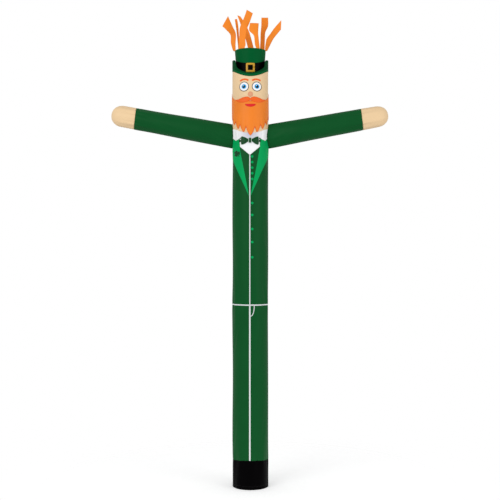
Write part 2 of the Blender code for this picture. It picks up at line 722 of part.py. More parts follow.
# ---------------------------------------------------------------- face, of plain shapes


def arc(x, height, radius, degrees):
    """Points on a round about (x, height), as seen from the front."""
    angles = (math.radians(a) for a in degrees)
    return [(x + radius * math.cos(a), height + radius * math.sin(a)) for a in angles]


def add_eyes():
    """Round eyes with a round iris sewn on, each under a short arched brow."""
    for side, name in ((LEFT, "left"), (RIGHT, "right")):
        middle = side * EYE_ACROSS
        add_object(f"eye_{name}", laid([seen(disc(middle, EYE_HEIGHT, EYE_RADIUS, 16))], 0), WHITE)
        add_object(f"iris_{name}", laid([seen(disc(middle, EYE_HEIGHT, IRIS_RADIUS, 14))], 1), BLUE)
        brow = arc(middle - side * BROW_LEAN, EYE_HEIGHT, BROW_RADIUS, (126, 112, 98, 84, 70, 56))
        add_object(f"brow_{name}", laid([seen(strip(brow, BROW_WIDTH))], 0), DEEP_ORANGE)


def add_nose_and_mouth():
    add_object("nose", laid([seen(disc(0.0, NOSE_HEIGHT, NOSE_RADIUS, 14))], 0), ROSY_SKIN)
    add_object("moustache", laid([seen(both_halves(MOUSTACHE_HALF))], 3), DEEP_ORANGE)
    smile = arc(0.0, 0.0, 1.0, range(180, 361, 20))
    smile = [(SMILE_HALF * x, SMILE_HEIGHT + SMILE_DEPTH * z) for x, z in smile]
    add_object("mouth", laid([seen(smile)], 3), RED)


def beard_edge(heights, place):
    """Height of an edge of the beard at a place from -1 to 1 across it."""
    return heights["front"] + (heights["side"] - heights["front"]) * abs(place) ** heights["shape"]


def lock_ends():
    """Ends and drops of all the locks in order from place -1 to 1: (start, tip, end, drop)."""
    ends = [0.0] + [end for end, _ in BEARD_LOCKS]
    locks = [(-ends[1], 0.0, ends[1], BEARD_LOCKS[0][1])]
    for start, (end, drop) in zip(ends[1:], BEARD_LOCKS[1:]):
        tip = start + (end - start) * LOCK_LEAN
        locks = [(-end, -tip, -start, drop), *locks, (start, tip, end, drop)]
    return locks


def add_beard():
    """Full beard: pointed locks below, sideburns to behind the tube's sides, and a dipped upper edge."""
    half = across(TUBE_RADIUS) + BEARD_WRAP
    outline = []
    for start, tip, end, drop in lock_ends():
        sides = [(start + (tip - start) * way, fall) for way, fall in ((0.0, 0.0), *LOCK_CURVE)]
        sides += [(tip, 1.0)] + [(end + (tip - end) * way, fall) for way, fall in reversed(LOCK_CURVE)]
        outline += [(half * place, beard_edge(BEARD_LOW, place) - drop * fall) for place, fall in sides]
    outline.append((half, beard_edge(BEARD_LOW, 1.0)))
    outline += [(half * place, beard_edge(BEARD_TOP, place)) for place in (1 - i / 8 for i in range(17))]
    add_object("beard", laid([outline], 2), HAIR_ORANGE)


# ---------------------------------------------------------------- build

for old in list(bpy.data.objects):
    bpy.data.objects.remove(old, do_unlink=True)

holes = {side: arm_core(side, -WALL, f"arm_hole_{side}") for side in (LEFT, RIGHT)}
clearances = {side: arm_core(side, ARM_CLEARANCE, f"arm_clearance_{side}") for side in (LEFT, RIGHT)}
core_heights = (ARM_HEIGHT - ARM_TRIM_REACH, ARM_HEIGHT + ARM_TRIM_REACH)
core_rings = [ring(TUBE_RADIUS + GAP, height) for height in core_heights]
tube_core = as_cutter(add_object("tube_core", capped(core_rings), WHITE))

add_cuff()
add_tube_panels(holes)
for side, name in ((LEFT, "left"), (RIGHT, "right")):
    add_sleeve(side, f"sleeve_{name}", tube_core)
    add_hand(side, f"hand_{name}")
add_hat()
add_hair()
add_tapes()
add_shirt_and_lapels(clearances)
add_collar(clearances)
add_bow_tie()
add_buttons()
add_clover()
add_eyes()
add_nose_and_mouth()
add_beard()
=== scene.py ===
"""Looks of an inflatable air dancer: each panel, patch, tape and ribbon of its sewn nylon, in metres, +Z up.

The figure faces -Y. Cloth is cut flat, so each piece has a place on the flat as well, which its weave
follows: the distance round the wall that it lies on, counted from the front towards +X, and the height.
"""

import math

import bmesh
import bpy
import numpy as np
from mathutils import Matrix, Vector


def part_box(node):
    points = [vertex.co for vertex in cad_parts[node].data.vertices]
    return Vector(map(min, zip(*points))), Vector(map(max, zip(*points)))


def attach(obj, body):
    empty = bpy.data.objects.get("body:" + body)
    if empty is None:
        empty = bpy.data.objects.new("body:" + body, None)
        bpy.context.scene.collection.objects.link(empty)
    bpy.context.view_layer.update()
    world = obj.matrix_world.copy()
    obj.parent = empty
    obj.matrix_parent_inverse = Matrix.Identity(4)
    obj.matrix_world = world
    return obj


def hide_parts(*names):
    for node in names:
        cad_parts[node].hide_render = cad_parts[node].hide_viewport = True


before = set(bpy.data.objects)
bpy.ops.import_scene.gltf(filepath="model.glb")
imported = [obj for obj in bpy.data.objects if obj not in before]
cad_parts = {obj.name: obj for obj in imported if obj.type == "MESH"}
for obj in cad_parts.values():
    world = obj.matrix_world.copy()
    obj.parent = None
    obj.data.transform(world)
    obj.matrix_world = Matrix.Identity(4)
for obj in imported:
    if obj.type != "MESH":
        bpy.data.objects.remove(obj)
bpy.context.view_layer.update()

# ---------------------------------------------------------------- studio
# A pale floor that fades into an even, pale surround, soft daylight from all round, a large soft lamp up to
# the left and a weaker one to the right. The camera stands straight in front, at half the figure's height.

CAMERA_AT = (-0.0047, -12.1, 3.010)
LENS_MM, CAMERA_REACH = 68.24, 200
SURROUND, SKY_LIGHT = (1.0, 1.0, 1.0, 1.0), 0.64  # its colour, and its strength as light on the figure
FLOOR_WHITE = (0.93, 0.933, 0.936, 1.0)
FLOOR_CLEAR, FLOOR_GONE = 0.3, 3.5  # the floor is whole out to the first radius and gone at the second
# Each lamp's name, place, width and watts
LAMPS = (("lamp_left", (-6.5, -9.0, 7.0), 6.0, 430), ("lamp_right", (8.0, -6.5, 4.0), 5.0, 215))


class Value:
    """A number or colour that varies over a surface. Arithmetic on a number adds Math nodes."""

    def __init__(self, finish, socket):
        self.finish, self.socket = finish, socket

    def math(self, operation, *terms, clamp=False):
        settings = {"operation": operation, "use_clamp": clamp}
        return self.finish.node("Math", settings, dict(enumerate(terms)))

    def __add__(self, other):
        return self.math("ADD", self, other)

    def __sub__(self, other):
        return self.math("SUBTRACT", self, other)

    def __rsub__(self, other):
        return self.math("SUBTRACT", other, self)

    def __mul__(self, other):
        return self.math("MULTIPLY", self, other)

    def __truediv__(self, other):
        return self.math("DIVIDE", self, other)

    __radd__, __rmul__ = __add__, __mul__

    def size(self):
        return self.math("ABSOLUTE", self)

    def wave(self):
        return self.math("SINE", self)

    def held(self):
        """The number kept between 0 and 1."""
        return self.math("ADD", self, 0.0, clamp=True)

    def to_line(self, spacing):
        """Distance to the nearest of evenly spaced lines."""
        return self.math("PINGPONG", self, spacing / 2)


class Finish:
    """One material. Its constants are set on its shader's own sockets, and one method adds every node."""

    def __init__(self, name, colour, **constants):
        self.material = bpy.data.materials.new(name)
        self.material.use_nodes = True
        self.material.diffuse_color = colour
        self.tree = self.material.node_tree
        self.shader = self.tree.nodes["Principled BSDF"]
        self.shader.inputs["Base Color"].default_value = colour
        for socket, number in constants.items():
            self.shader.inputs[socket.replace("_", " ")].default_value = number

    def node(self, kind, settings=None, sockets=None, output=0):
        made = self.tree.nodes.new("ShaderNode" + kind)
        for setting, choice in (settings or {}).items():
            setattr(made, setting, choice)
        for socket, content in (sockets or {}).items():
            if isinstance(content, Value):
                self.tree.links.new(content.socket, made.inputs[socket])
            else:
                made.inputs[socket].default_value = content
        return Value(self, made.outputs[output])

    def drive(self, socket, value):
        self.tree.links.new(value.socket, self.shader.inputs[socket])

    def raise_by(self, height, strength):
        """Relief of so many metres, which only the light shows."""
        sockets = {"Strength": strength, "Distance": 1.0, "Height": height}
        self.drive("Normal", self.node("Bump", None, sockets))

    def mixed(self, share, one, other):
        """Colour that goes from one to the other with the share."""
        return self.node("Mix", {"data_type": "RGBA"}, {0: share, 6: one, 7: other}, 2)

    def place(self):
        """The point's place on the flat cloth, in metres."""
        return self.node("UVMap", {"uv_map": "Flat"})

    def across(self):
        return self.node("SeparateXYZ", None, {0: self.place()}, 0)

    def along(self):
        return self.node("SeparateXYZ", None, {0: self.place()}, 1)

    def away_from(self, middle):
        """Distance from a place on the flat cloth."""
        return self.node("VectorMath", {"operation": "DISTANCE"}, {0: self.place(), 1: middle}, 1)

    def dyed(self):
        """The colour that the cloth has so far."""
        return Value(self, self.shader.inputs["Base Color"].links[0].from_socket)


scene = bpy.context.scene
scene.view_settings.view_transform = "Standard"

camera = bpy.data.objects.new("camera", bpy.data.cameras.new("camera"))
camera.location = CAMERA_AT
camera.rotation_euler = (math.radians(90), 0, 0)
camera.data.lens = LENS_MM
camera.data.clip_end = CAMERA_REACH
scene.collection.objects.link(camera)
scene.camera = camera

surround = bpy.data.worlds.new("surround")
surround.use_nodes = True
sky = surround.node_tree.nodes
sky["Background"].inputs["Color"].default_value = SURROUND
seen_by_camera = sky.new("ShaderNodeLightPath").outputs["Is Camera Ray"]
strength = sky.new("ShaderNodeMapRange")
strength.inputs["To Min"].default_value, strength.inputs["To Max"].default_value = SKY_LIGHT, 1.0
surround.node_tree.links.new(seen_by_camera, strength.inputs["Value"])
surround.node_tree.links.new(strength.outputs["Result"], sky["Background"].inputs["Strength"])
scene.world = surround

aim = camera.location.copy()
aim.x, aim.y = 0, 0
for name, place, width, watts in LAMPS:
    lamp = bpy.data.objects.new(name, bpy.data.lights.new(name, "AREA"))
    lamp.data.size, lamp.data.energy = width, watts
    lamp.location = place
    lamp.rotation_euler = (aim - lamp.location).to_track_quat("-Z", "Y").to_euler()
    scene.collection.objects.link(lamp)

bpy.ops.mesh.primitive_circle_add(vertices=96, radius=FLOOR_GONE, fill_type="NGON")
floor = bpy.context.object
floor.name = "floor"
paint = Finish("floor_paint", FLOOR_WHITE, Roughness=0.9, Specular_IOR_Level=0.1, Emission_Strength=0.30)
out_from_middle = paint.node("VectorMath", {"operation": "LENGTH"}, {0: paint.node("TexCoord", output=3)}, 1)
gone = ((out_from_middle - FLOOR_CLEAR) / (FLOOR_GONE - FLOOR_CLEAR)).held()
clear = paint.node("BsdfTransparent")
blend = paint.node("MixShader", None, {0: gone, 1: Value(paint, paint.shader.outputs[0]), 2: clear})
paint.tree.links.new(blend.socket, paint.tree.nodes["Material Output"].inputs["Surface"])
floor.data.materials.append(paint.material)

# ---------------------------------------------------------------- cuff
# The foot of the tube: a black nylon panel whose lower edge is turned up inside into a wide hem, which the
# blower's ring goes into. It is one rectangle of cloth, lapped and felled down the back.

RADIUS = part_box("base_cuff")[1].x
CUFF_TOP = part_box("base_cuff")[1].z
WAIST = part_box("trouser_tube")[1].z
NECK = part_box("jacket_tube")[1].z
HEM = 0.050  # how far the cuff is turned up inside
HEM_LEAF = 0.0034  # from the cuff's outer face to the hem's inner one
LAP = 0.012  # width of the felled seam down the back
BACK = math.pi * RADIUS  # round the tube from its front to the seam down its back
CLOTH = 0.0012
ROUND = 176  # steps round the tube
STEP = 0.012  # height of a row of cloth

# Seams that tie the tube in: how far, how much the thread gathers the cloth there, and its own pattern
TIES = (
    {"height": HEM, "draw": 0.0012, "gather": 0.020, "pattern": 3},
    {"height": CUFF_TOP, "draw": 0.0035, "gather": 0.045, "pattern": 5},
    {"height": WAIST, "draw": 0.0045, "gather": 0.060, "pattern": 8},
    {"height": NECK, "draw": 0.0030, "gather": 0.035, "pattern": 13},
)
TIE_REACH = 0.035
# The cuff's seam is drawn up this far at the front, and the cloth this near follows it
CUFF_RISE, RISE_REACH = 0.022, 0.20
FOLD_COUNTS = (9, 14, 22, 35, 56)  # folds round the tube, from the long shallow ones to the short ones
FOLD_RUN = 1.5  # a fold dies out over this many metres, divided by its count

# Creases of the blown-up cloth. Each has its start and its end, both in degrees from the
# front and as a height, and then its depth and its half width
CREASES = (
    (-74, 0.40, -46, 0.98, 0.0040, 0.030), (38, 0.52, 62, 1.16, 0.0036, 0.034),
    (-22, 1.02, -52, 1.52, 0.0026, 0.028), (20, 1.60, 44, 2.27, 0.0040, 0.026),
    (-66, 1.72, -34, 2.26, 0.0044, 0.030), (58, 2.36, 30, 2.86, 0.0042, 0.028),
    (-40, 2.36, -64, 3.02, 0.0040, 0.032), (-30, 2.98, -58, 3.46, 0.0028, 0.026),
    (66, 3.04, 40, 3.62, 0.0034, 0.034), (-82, 4.20, -52, 3.72, 0.0052, 0.026),
    (-88, 4.26, -72, 3.58, 0.0046, 0.030), (80, 4.22, 50, 3.80, 0.0050, 0.027),
    (87, 4.27, 73, 3.64, 0.0042, 0.030), (-84, 4.64, -56, 5.06, 0.0040, 0.026),
    (84, 4.66, 58, 5.10, 0.0036, 0.026), (118, 4.24, 150, 3.62, 0.0050, 0.034),
    (-114, 4.22, -152, 3.70, 0.0046, 0.034), (124, 4.66, 158, 5.12, 0.0042, 0.030),
    (-120, 4.64, -150, 5.14, 0.0040, 0.030), (140, 2.37, 112, 3.02, 0.0044, 0.036),
    (-148, 2.36, -118, 2.92, 0.0042, 0.032), (152, 1.54, 120, 2.27, 0.0042, 0.034),
    (-128, 1.48, -158, 2.26, 0.0044, 0.034), (-144, 0.39, -112, 1.10, 0.0040, 0.034),
    (132, 0.40, 160, 1.02, 0.0038, 0.032),
)
CREASE_SHOULDER = 0.5  # how high the cloth stands beside a crease, as a share of its depth
SWAY = 0.0016  # slow unevenness of the blown-up cloth
EASE = 0.0026  # how far it bulges between its creases
BULGE = 0.020  # so much, as a share of the radius, with the trim on it
SEAM_LIFT = 0.0018  # the upper edge of the felled seam stands this much higher
BLACK = (2, 1, 2)
NYLON_RIP, RIP_HALF = 0.0064, 0.0009  # spacing of the ripstop's doubled threads, and half the width of one
NYLON_THREAD = 0.0007  # spacing of the plain threads
RIP_HIGH, WEAVE_HIGH = 0.00012, 0.00003
TWIST = 0.0012  # spacing of the twist in sewing thread


def dye(red, green, blue, light=1.0):
    """A colour from its 8-bit values, made lighter or darker by a factor."""
    shares = [value / 255 for value in (red, green, blue)]
    linear = [share / 12.92 if share <= 0.04045 else ((share + 0.055) / 1.055) ** 2.4 for share in shares]
    return (*(light * share for share in linear), 1.0)


def nylon(name, colour, roughness=0.5, gloss=0.22, crinkle=0.0007):
    """Ripstop nylon: a fine plain weave with a doubled thread every few millimetres, crinkled by packing."""
    finish = Finish(name, dye(*colour), Specular_IOR_Level=gloss)
    ways, place = (finish.across(), finish.along()), finish.place()
    cloud = finish.node("TexNoise", None, {"Vector": place, "Scale": 4.0, "Detail": 3.0})
    sockets = {"Vector": place, "Scale": 17.0, "Detail": 4.0, "Distortion": 0.6}
    ridge = (finish.node("TexNoise", None, sockets) - 0.5).size() * 2
    warp, weft = ((1 - way.to_line(NYLON_RIP) / RIP_HALF).held() for way in ways)
    rip = warp + weft
    over, under = ((way * (math.tau / NYLON_THREAD)).wave() for way in ways)
    worn = finish.mixed(cloud, dye(*colour, 0.88), dye(*colour, 1.1))
    finish.drive("Base Color", finish.mixed((rip * 0.25).held(), worn, dye(*colour, 1.3)))
    finish.drive("Roughness", roughness + 0.12 * (cloud - 0.5) - 0.05 * rip)
    finish.raise_by(rip * RIP_HIGH + over * under * WEAVE_HIGH - (1 - ridge).held() * crinkle, 0.8)
    return finish


def thread(name, colour):
    """Spun sewing thread, with its twist."""
    finish = Finish(name, dye(*colour), Roughness=0.55, Specular_IOR_Level=0.3)
    twist = ((finish.along() + finish.across() * 0.7) * (math.tau / TWIST)).wave()
    share = (twist * 0.5 + 0.5).held()
    finish.drive("Base Color", finish.mixed(share, dye(*colour, 0.75), dye(*colour, 1.15)))
    return finish


def smooth(share):
    share = np.clip(share, 0, 1)
    return share * share * (3 - 2 * share)


def turn_from(angle, start):
    """Signed angle from start, the short way round."""
    return (angle - start + np.pi) % math.tau - np.pi


def gathers(angle, away, depth, pattern):
    """Little folds that a seam's thread draws up, `away` metres from it. The shortest die out soonest."""
    draw = np.random.default_rng(pattern)
    height = 0.0
    for count in FOLD_COUNTS:
        phase, share = draw.uniform(0, math.tau), draw.uniform(0.6, 1.0)
        height = height + share / count * np.cos(count * angle + phase) * np.exp(-away * count / FOLD_RUN)
    return depth * height


def creased(angle, height, creases, radius):
    """Relief of listed creases. Each starts sharply and runs out slowly towards its end."""
    relief = 0.0
    for turn, start, end_turn, end, deep, wide in creases:
        run = np.array((math.radians(end_turn - turn) * radius, end - start))
        x, z = turn_from(angle, math.radians(turn)) * radius, height - start
        share = np.clip((x * run[0] + z * run[1]) / (run @ run), 0, 1)
        beside = (x * run[1] - z * run[0]) / np.hypot(*run) / wide
        fade = np.sin(np.pi * share**0.6) ** 1.2
        relief = relief - deep * fade * (1 - CREASE_SHOULDER * beside**2) * np.exp(-(beside**2))
    return relief


def swell(angle, height):
    """Distance of the blown-up tube's cloth from its middle line."""
    reach = RADIUS + EASE + creased(angle, height, CREASES, RADIUS)
    reach = reach + SWAY * np.sin(2 * angle + 3.1 * height) * np.cos(1.9 * height + 0.7)
    reach = reach + SWAY * np.cos(3 * angle - 4.3 * height + 1.1)
    for tie in TIES:
        away = np.abs(height - tie["height"])
        reach = reach + gathers(angle, away, tie["gather"], tie["pattern"])
        reach = reach - tie["draw"] * np.exp(-away / TIE_REACH)
    return reach


def ring_at(angle, reach, height):
    """Points round the middle line at a distance from it."""
    return np.stack((reach * np.sin(angle), -reach * np.cos(angle), height + 0 * reach), -1)


def on_tube(round_it, height, lift=0.0):
    """Points on the tube's cloth, lifted off it by so much."""
    angle = round_it / RADIUS
    drawn_up = np.clip(np.cos(angle), 0, 1) ** 1.5 * smooth(1 - np.abs(height - CUFF_TOP) / RISE_REACH)
    return ring_at(angle, swell(angle, height) + lift, height + CUFF_RISE * drawn_up)


def piece_of(name, points, faces, flat, finish, thick=CLOTH):
    """A sheet of cloth from its points, faces and places on the flat, riding on the one body."""
    used, corners = np.unique(faces, return_inverse=True)
    corners = corners.reshape(faces.shape)
    mesh = bpy.data.meshes.new(name)
    mesh.from_pydata(points[used].tolist(), [], corners.tolist())
    place = mesh.uv_layers.new(name="Flat")
    place.data.foreach_set("uv", flat[used][corners.ravel()].astype(np.float32).ravel())
    mesh.shade_smooth()
    mesh.materials.append(finish.material)
    piece = bpy.data.objects.new(name, mesh)
    scene.collection.objects.link(piece)
    if thick:
        solid = piece.modifiers.new("thickness", "SOLIDIFY")
        solid.thickness, solid.offset = thick, -1
    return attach(piece, "root")


def quads_of(corner, closed=(0, 0)):
    """Faces over a grid of corners. `closed` says whether it joins itself down its rows, and across them."""
    corner = np.pad(corner, [(0, joined) for joined in closed], mode="wrap")
    return np.stack((corner[:-1, :-1], corner[:-1, 1:], corner[1:, 1:], corner[1:, :-1]), -1).reshape(-1, 4)


def sheet_of(name, points, flat, finish, cut_out=None):
    """A sheet of cloth over a grid of points. `cut_out` marks points whose faces are cut away."""
    rows, columns = points.shape[:2]
    quads = quads_of(np.arange(rows * columns).reshape(rows, columns))
    if cut_out is not None:
        quads = quads[~cut_out.reshape(-1)[quads].all(axis=1)]
    return piece_of(name, points.reshape(-1, 3), quads, flat.reshape(-1, 2), finish)


def lapped(count, radius):
    """Angles round cloth that is felled to itself, closer together at the seam, and its lift over the lap."""
    half = LAP / 2 / radius
    seam, rest = np.linspace(-half, 3 * half, 9), np.pi - 3 * half
    angles = np.concatenate((seam[:-1] - np.pi, np.linspace(-rest, rest, count), np.pi - seam[-2::-1]))
    return angles, SEAM_LIFT * smooth((angles - rest) / (2 * half))


ANGLES, FELLED = lapped(ROUND, RADIUS)
# The cuff's section, as height, distance out from its outer face, and place along the flat cloth
inner = [(z, -HEM_LEAF, -z) for z in np.linspace(HEM, 0.008, 5)]
half = HEM_LEAF / 2
turned = [(half * (1 - math.sin(a)), -half * (1 + math.cos(a)), 0.0) for a in np.linspace(0.1, 3.0, 6)]
outer = [(z, 0.0, z) for z in np.linspace(0.006, CUFF_TOP, round(CUFF_TOP / STEP))]
profile = np.array(inner + turned + outer)
height = profile[:, :1] + 0 * ANGLES
round_it = ANGLES * RADIUS + 0 * height
points = on_tube(round_it, height, profile[:, 1:2] + FELLED)
black_nylon = nylon("black_nylon", BLACK, gloss=0.025)
cuff = sheet_of("cuff_cloth", points, np.stack((round_it, profile[:, 2:] + 0 * height), -1), black_nylon)
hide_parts("base_cuff")

STITCH, STITCH_PITCH, STRAND = 0.0056, 0.0080, 0.0006
ROWS_APART = 0.0035  # each row of a felled seam's stitches is this far from its middle
# Along a stitch: shares of its length, and of its girth
STITCH_FORM = np.array([(0.0, 0.35), (0.22, 1.0), (0.78, 1.0), (1.0, 0.35)])
STITCH_SECTION = np.array([(1, 0), (0, 1), (-1, 0), (0, -1)]) * STRAND


def run_of(line):
    """How far along a flat line each of its points lies."""
    return np.concatenate(([0.0], np.cumsum(np.hypot(*np.diff(line, axis=0).T))))


def at_runs(line, runs):
    """Points that far along a flat line."""
    return np.stack([np.interp(runs, run_of(line), line[:, axis]) for axis in (0, 1)], -1)


def left_of(way):
    """Flat unit vectors square to these, on their left."""
    return np.stack((-way[:, 1], way[:, 0]), -1) / np.linalg.norm(way, axis=1, keepdims=True)


def stitched(name, lines, wall, finish, lift=0.0):
    """Lockstitch along flat lines on a wall: a small bead of thread for each stitch that shows."""
    places = []
    for line in lines:
        line = np.asarray(line, float)
        starts = np.arange(STITCH_PITCH / 3, run_of(line)[-1] - STITCH, STITCH_PITCH)
        places.append(at_runs(line, starts[:, None] + STITCH * STITCH_FORM[:, 0]))
    middle = np.concatenate(places)
    side = left_of(middle[:, -1] - middle[:, 0])
    section = STITCH_FORM[:, 1, None, None] * STITCH_SECTION
    flat = middle[:, :, None, :] + side[:, None, None, :] * section[None, :, :, :1]
    rise = lift + section[None, :, :, 1] + 0 * flat[..., 0]
    points = wall(flat[..., 0], flat[..., 1], rise)
    corner = np.arange(16).reshape(4, 4)
    bead = np.concatenate((quads_of(corner, (0, 1)), [corner[0, ::-1], corner[3]]))
    quads = (np.arange(len(middle))[:, None, None] * corner.size + bead).reshape(-1, 4)
    return piece_of(name, points.reshape(-1, 3), quads, flat.reshape(-1, 2), finish, thick=0)


def level_rows(*heights):
    """Flat lines right round the tube at these heights."""
    return [[(-BACK, z), (BACK, z)] for z in heights]


def felled_rows(round_it, low, top):
    """The two lines of stitches down a felled seam, so far round the wall that it is in."""
    return [[(round_it + aside, low), (round_it + aside, top)] for aside in (-ROWS_APART, ROWS_APART)]


black_thread = thread("black_thread", (34, 33, 35))
lines = level_rows(HEM - 0.004, HEM - 0.010, CUFF_TOP - 0.005)
cuff_stitches = stitched("cuff_stitches", lines, on_tube, black_thread)
back = stitched("cuff_back_stitches", felled_rows(BACK, 0.004, CUFF_TOP), on_tube, black_thread, SEAM_LIFT)

# ---------------------------------------------------------------- trousers, jacket and head
# Three panels of the same tube, one above the other: dark green for the suit and skin colour for the head.
# Each is a rectangle of nylon felled down the back, and the arms open into the upper two at their sides.

SUIT_GREEN, SKIN = (8, 81, 36), (237, 205, 161)
ARM_HEIGHT, ARM_TILT = 4.459, math.radians(10.26)
ARM_ROOT, ARM_TAPER = 0.1506, 0.0131  # radius where the arm leaves the tube, and its loss for each metre
ARM_PINCH, ARM_ROUND_FROM = 0.52, 0.45  # depth over height at the root, and how far out the arm is round
ARM_SEAM = 0.006  # width of cloth turned in round the arm hole
SEAM_ROW = 0.006  # from a level seam to its row of stitches
BUTTED = 0.0003  # gap between two pieces that meet
BRIM_LOW = {"side": 5.282, "front": 5.188, "back": 5.282, "shape": 2.0}  # heights of the brim's lower edge
BEHIND_BRIM = 0.022  # how far the head reaches up behind the brim
LEFT, RIGHT = -1, 1


def edge_of(edge, lift=0.0):
    """Height of an edge of the hat at an angle from the front, as it falls or rises from the sides."""

    def height(angle):
        turn = np.cos(angle)
        ahead = np.clip(turn, 0, 1)
        share = np.interp(ahead, *edge["falls"]) if "falls" in edge else ahead ** edge["shape"]
        back = (edge["back"] - edge["side"]) * np.clip(-turn, 0, 1) ** 2
        return edge["side"] + (edge["front"] - edge["side"]) * share + back + lift

    return height


def arm_place(side, along, turn, radius):
    """Point of an arm, metres out from the tube's side and so far round from its top, at a radius."""
    pinch = ARM_PINCH + (1 - ARM_PINCH) * smooth(along / ARM_ROUND_FROM)
    up, out = radius * np.cos(turn), along + 0 * turn
    x = RADIUS + out * math.cos(ARM_TILT) - up * math.sin(ARM_TILT)
    z = ARM_HEIGHT + out * math.sin(ARM_TILT) + up * math.cos(ARM_TILT)
    return np.stack((side * x, -side * radius * pinch * np.sin(turn), z), -1)


def arm_root(side, turn):
    """How far out along an arm each of its lines leaves the tube's cloth."""
    low, high = np.full_like(turn, -0.12), np.full_like(turn, 0.12)
    for _ in range(24):
        middle = (low + high) / 2
        x, y, z = np.moveaxis(arm_place(side, middle, turn, ARM_ROOT - ARM_TAPER * middle), -1, 0)
        within = np.hypot(x, y) < swell(np.arctan2(x, -y), z)
        low, high = np.where(within, middle, low), np.where(within, high, middle)
    return (low + high) / 2


def off_the_arms(round_it, height, margin):
    """Flat points moved out to the arms' seams, grown by a margin, and which of them lay inside."""
    turn = np.linspace(0, math.tau, 96, endpoint=False)
    within = np.zeros(round_it.shape, bool)
    for side in (LEFT, RIGHT):
        middle = side * RADIUS * math.pi / 2
        root = arm_root(side, turn)
        x, y, z = np.moveaxis(arm_place(side, root, turn, ARM_ROOT - ARM_TAPER * root), -1, 0)
        seam = (np.arctan2(x, -y) * RADIUS - middle, z - ARM_HEIGHT)
        way = np.arctan2(*seam)
        order = np.argsort(way)
        dx, dz = round_it - middle, height - ARM_HEIGHT
        away = np.hypot(dx, dz)
        reach = np.interp(np.arctan2(dx, dz), way[order], np.hypot(*seam)[order], period=math.tau) + margin
        inside = away < reach
        grow = np.where(inside, reach / np.maximum(away, 1e-6), 1.0)
        round_it, height = middle + dx * grow, ARM_HEIGHT + dz * grow
        within |= inside
    return round_it, height, within


def tube_panel(name, low, top, finish):
    """A rectangle of cloth wrapped round the tube and felled to itself down the back, with its arm holes."""
    low, top = (edge(ANGLES) if callable(edge) else edge + 0 * ANGLES for edge in (low, top))
    share = np.linspace(0, 1, round((top - low).max() / STEP) + 1)[:, None]
    height = low + (top - low) * share
    round_it, height, inside = off_the_arms(ANGLES * RADIUS + 0 * height, height, -ARM_SEAM)
    points = on_tube(round_it, height, FELLED)
    return sheet_of(name, points, np.stack((round_it, height), -1), finish, cut_out=inside)


green_nylon = nylon("suit_green_nylon", SUIT_GREEN, gloss=0.08)
skin_nylon = nylon("skin_nylon", SKIN)
green_thread, skin_thread = thread("green_thread", (40, 112, 62)), thread("skin_thread", (205, 168, 124))
GIRTH = math.tau * RADIUS + LAP
ARM_HOLE = math.pi * ARM_ROOT * ARM_ROOT * ARM_PINCH  # area cut away for one arm, half of it in each panel
for node, low, top, finish, sewing, slot in (
    ("trouser_tube", CUFF_TOP + BUTTED, WAIST, green_nylon, green_thread, "suit_green"),
    ("jacket_tube", WAIST + BUTTED, NECK, green_nylon, green_thread, "suit_green"),
    ("head_tube", NECK + BUTTED, edge_of(BRIM_LOW, BEHIND_BRIM), skin_nylon, skin_thread, "skin_cloth"),
):
    panel = tube_panel(node.replace("tube", "cloth"), low, top, finish)
    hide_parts(node)
    low_end, top_end = (corner.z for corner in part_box(node))
    length, holes = top_end - low_end, 0.0 if node == "trouser_tube" else ARM_HOLE
    GIRTH * length - holes
    rows = felled_rows(BACK, low_end, top_end)
    back = stitched(node.replace("tube", "back_stitches"), rows, on_tube, sewing, SEAM_LIFT)
    level = stitched(node.replace("tube", "seam_stitches"), level_rows(low_end + SEAM_ROW), on_tube, sewing)

# ---------------------------------------------------------------- arms
# A sleeve is one rectangle of the suit's nylon, felled along its underside and sewn round its arm hole. The
# skin-coloured hand is a mitten: one cloth folded at the top, sewn underneath and round its end.

WRIST_REACH, HAND_REACH = {LEFT: 1.477, RIGHT: 1.431}, {LEFT: 1.769, RIGHT: 1.755}  # from the tube's middle
HAND_END, HAND_SHAPE = 0.140, 2.2  # length of the rounded end, and the exponent of its rounding
ARM_ROUND, ARM_STEP = 104, 0.012
HAND_SEAM = {"draw": 0.0035, "pucker": 0.0022, "reach": 0.022, "pitch": 0.034}
ARM_GATHER, ARM_DRAW, ARM_SWAY = 0.050, 0.0040, 0.0013
# The seam at the wrist is drawn in at the front, and below, and the cloth this near follows it
WRIST_DRAW, WRIST_LEAN, WRIST_FOLLOW = 0.011, 0.016, 0.15
HAND_TIP = 0.9996  # the hand's cloth is drawn together this far along its rounded end

# Creases, listed as the tube's are: in degrees from the arm's top, and in metres out along it
ARM_CREASES = {
    LEFT: (
        (-128, 0.03, -84, 0.36, 0.0062, 0.024), (-104, 0.02, -60, 0.24, 0.0050, 0.022),
        (-150, 0.10, -118, 0.52, 0.0046, 0.026), (-40, 0.30, -76, 0.66, 0.0036, 0.030),
        (-122, 0.70, -88, 1.05, 0.0036, 0.028), (-66, 1.26, -98, 0.90, 0.0044, 0.024),
        (60, 0.04, 104, 0.34, 0.0050, 0.028), (132, 0.20, 96, 0.62, 0.0042, 0.030),
        (70, 1.25, 112, 0.86, 0.0042, 0.028),
    ),
    RIGHT: (
        (130, 0.03, 88, 0.33, 0.0060, 0.024), (102, 0.02, 64, 0.26, 0.0048, 0.022),
        (152, 0.12, 122, 0.50, 0.0048, 0.026), (46, 0.36, 84, 0.72, 0.0038, 0.032),
        (118, 0.64, 86, 0.98, 0.0034, 0.028), (72, 1.21, 104, 0.84, 0.0046, 0.024),
        (-64, 0.04, -106, 0.36, 0.0050, 0.028), (-130, 0.24, -98, 0.66, 0.0042, 0.030),
        (-74, 1.20, -110, 0.84, 0.0042, 0.028),
    ),
}


def out_to(reach):
    """Metres out along an arm of the point that far from the tube's middle."""
    return (reach - RADIUS) / math.cos(ARM_TILT)


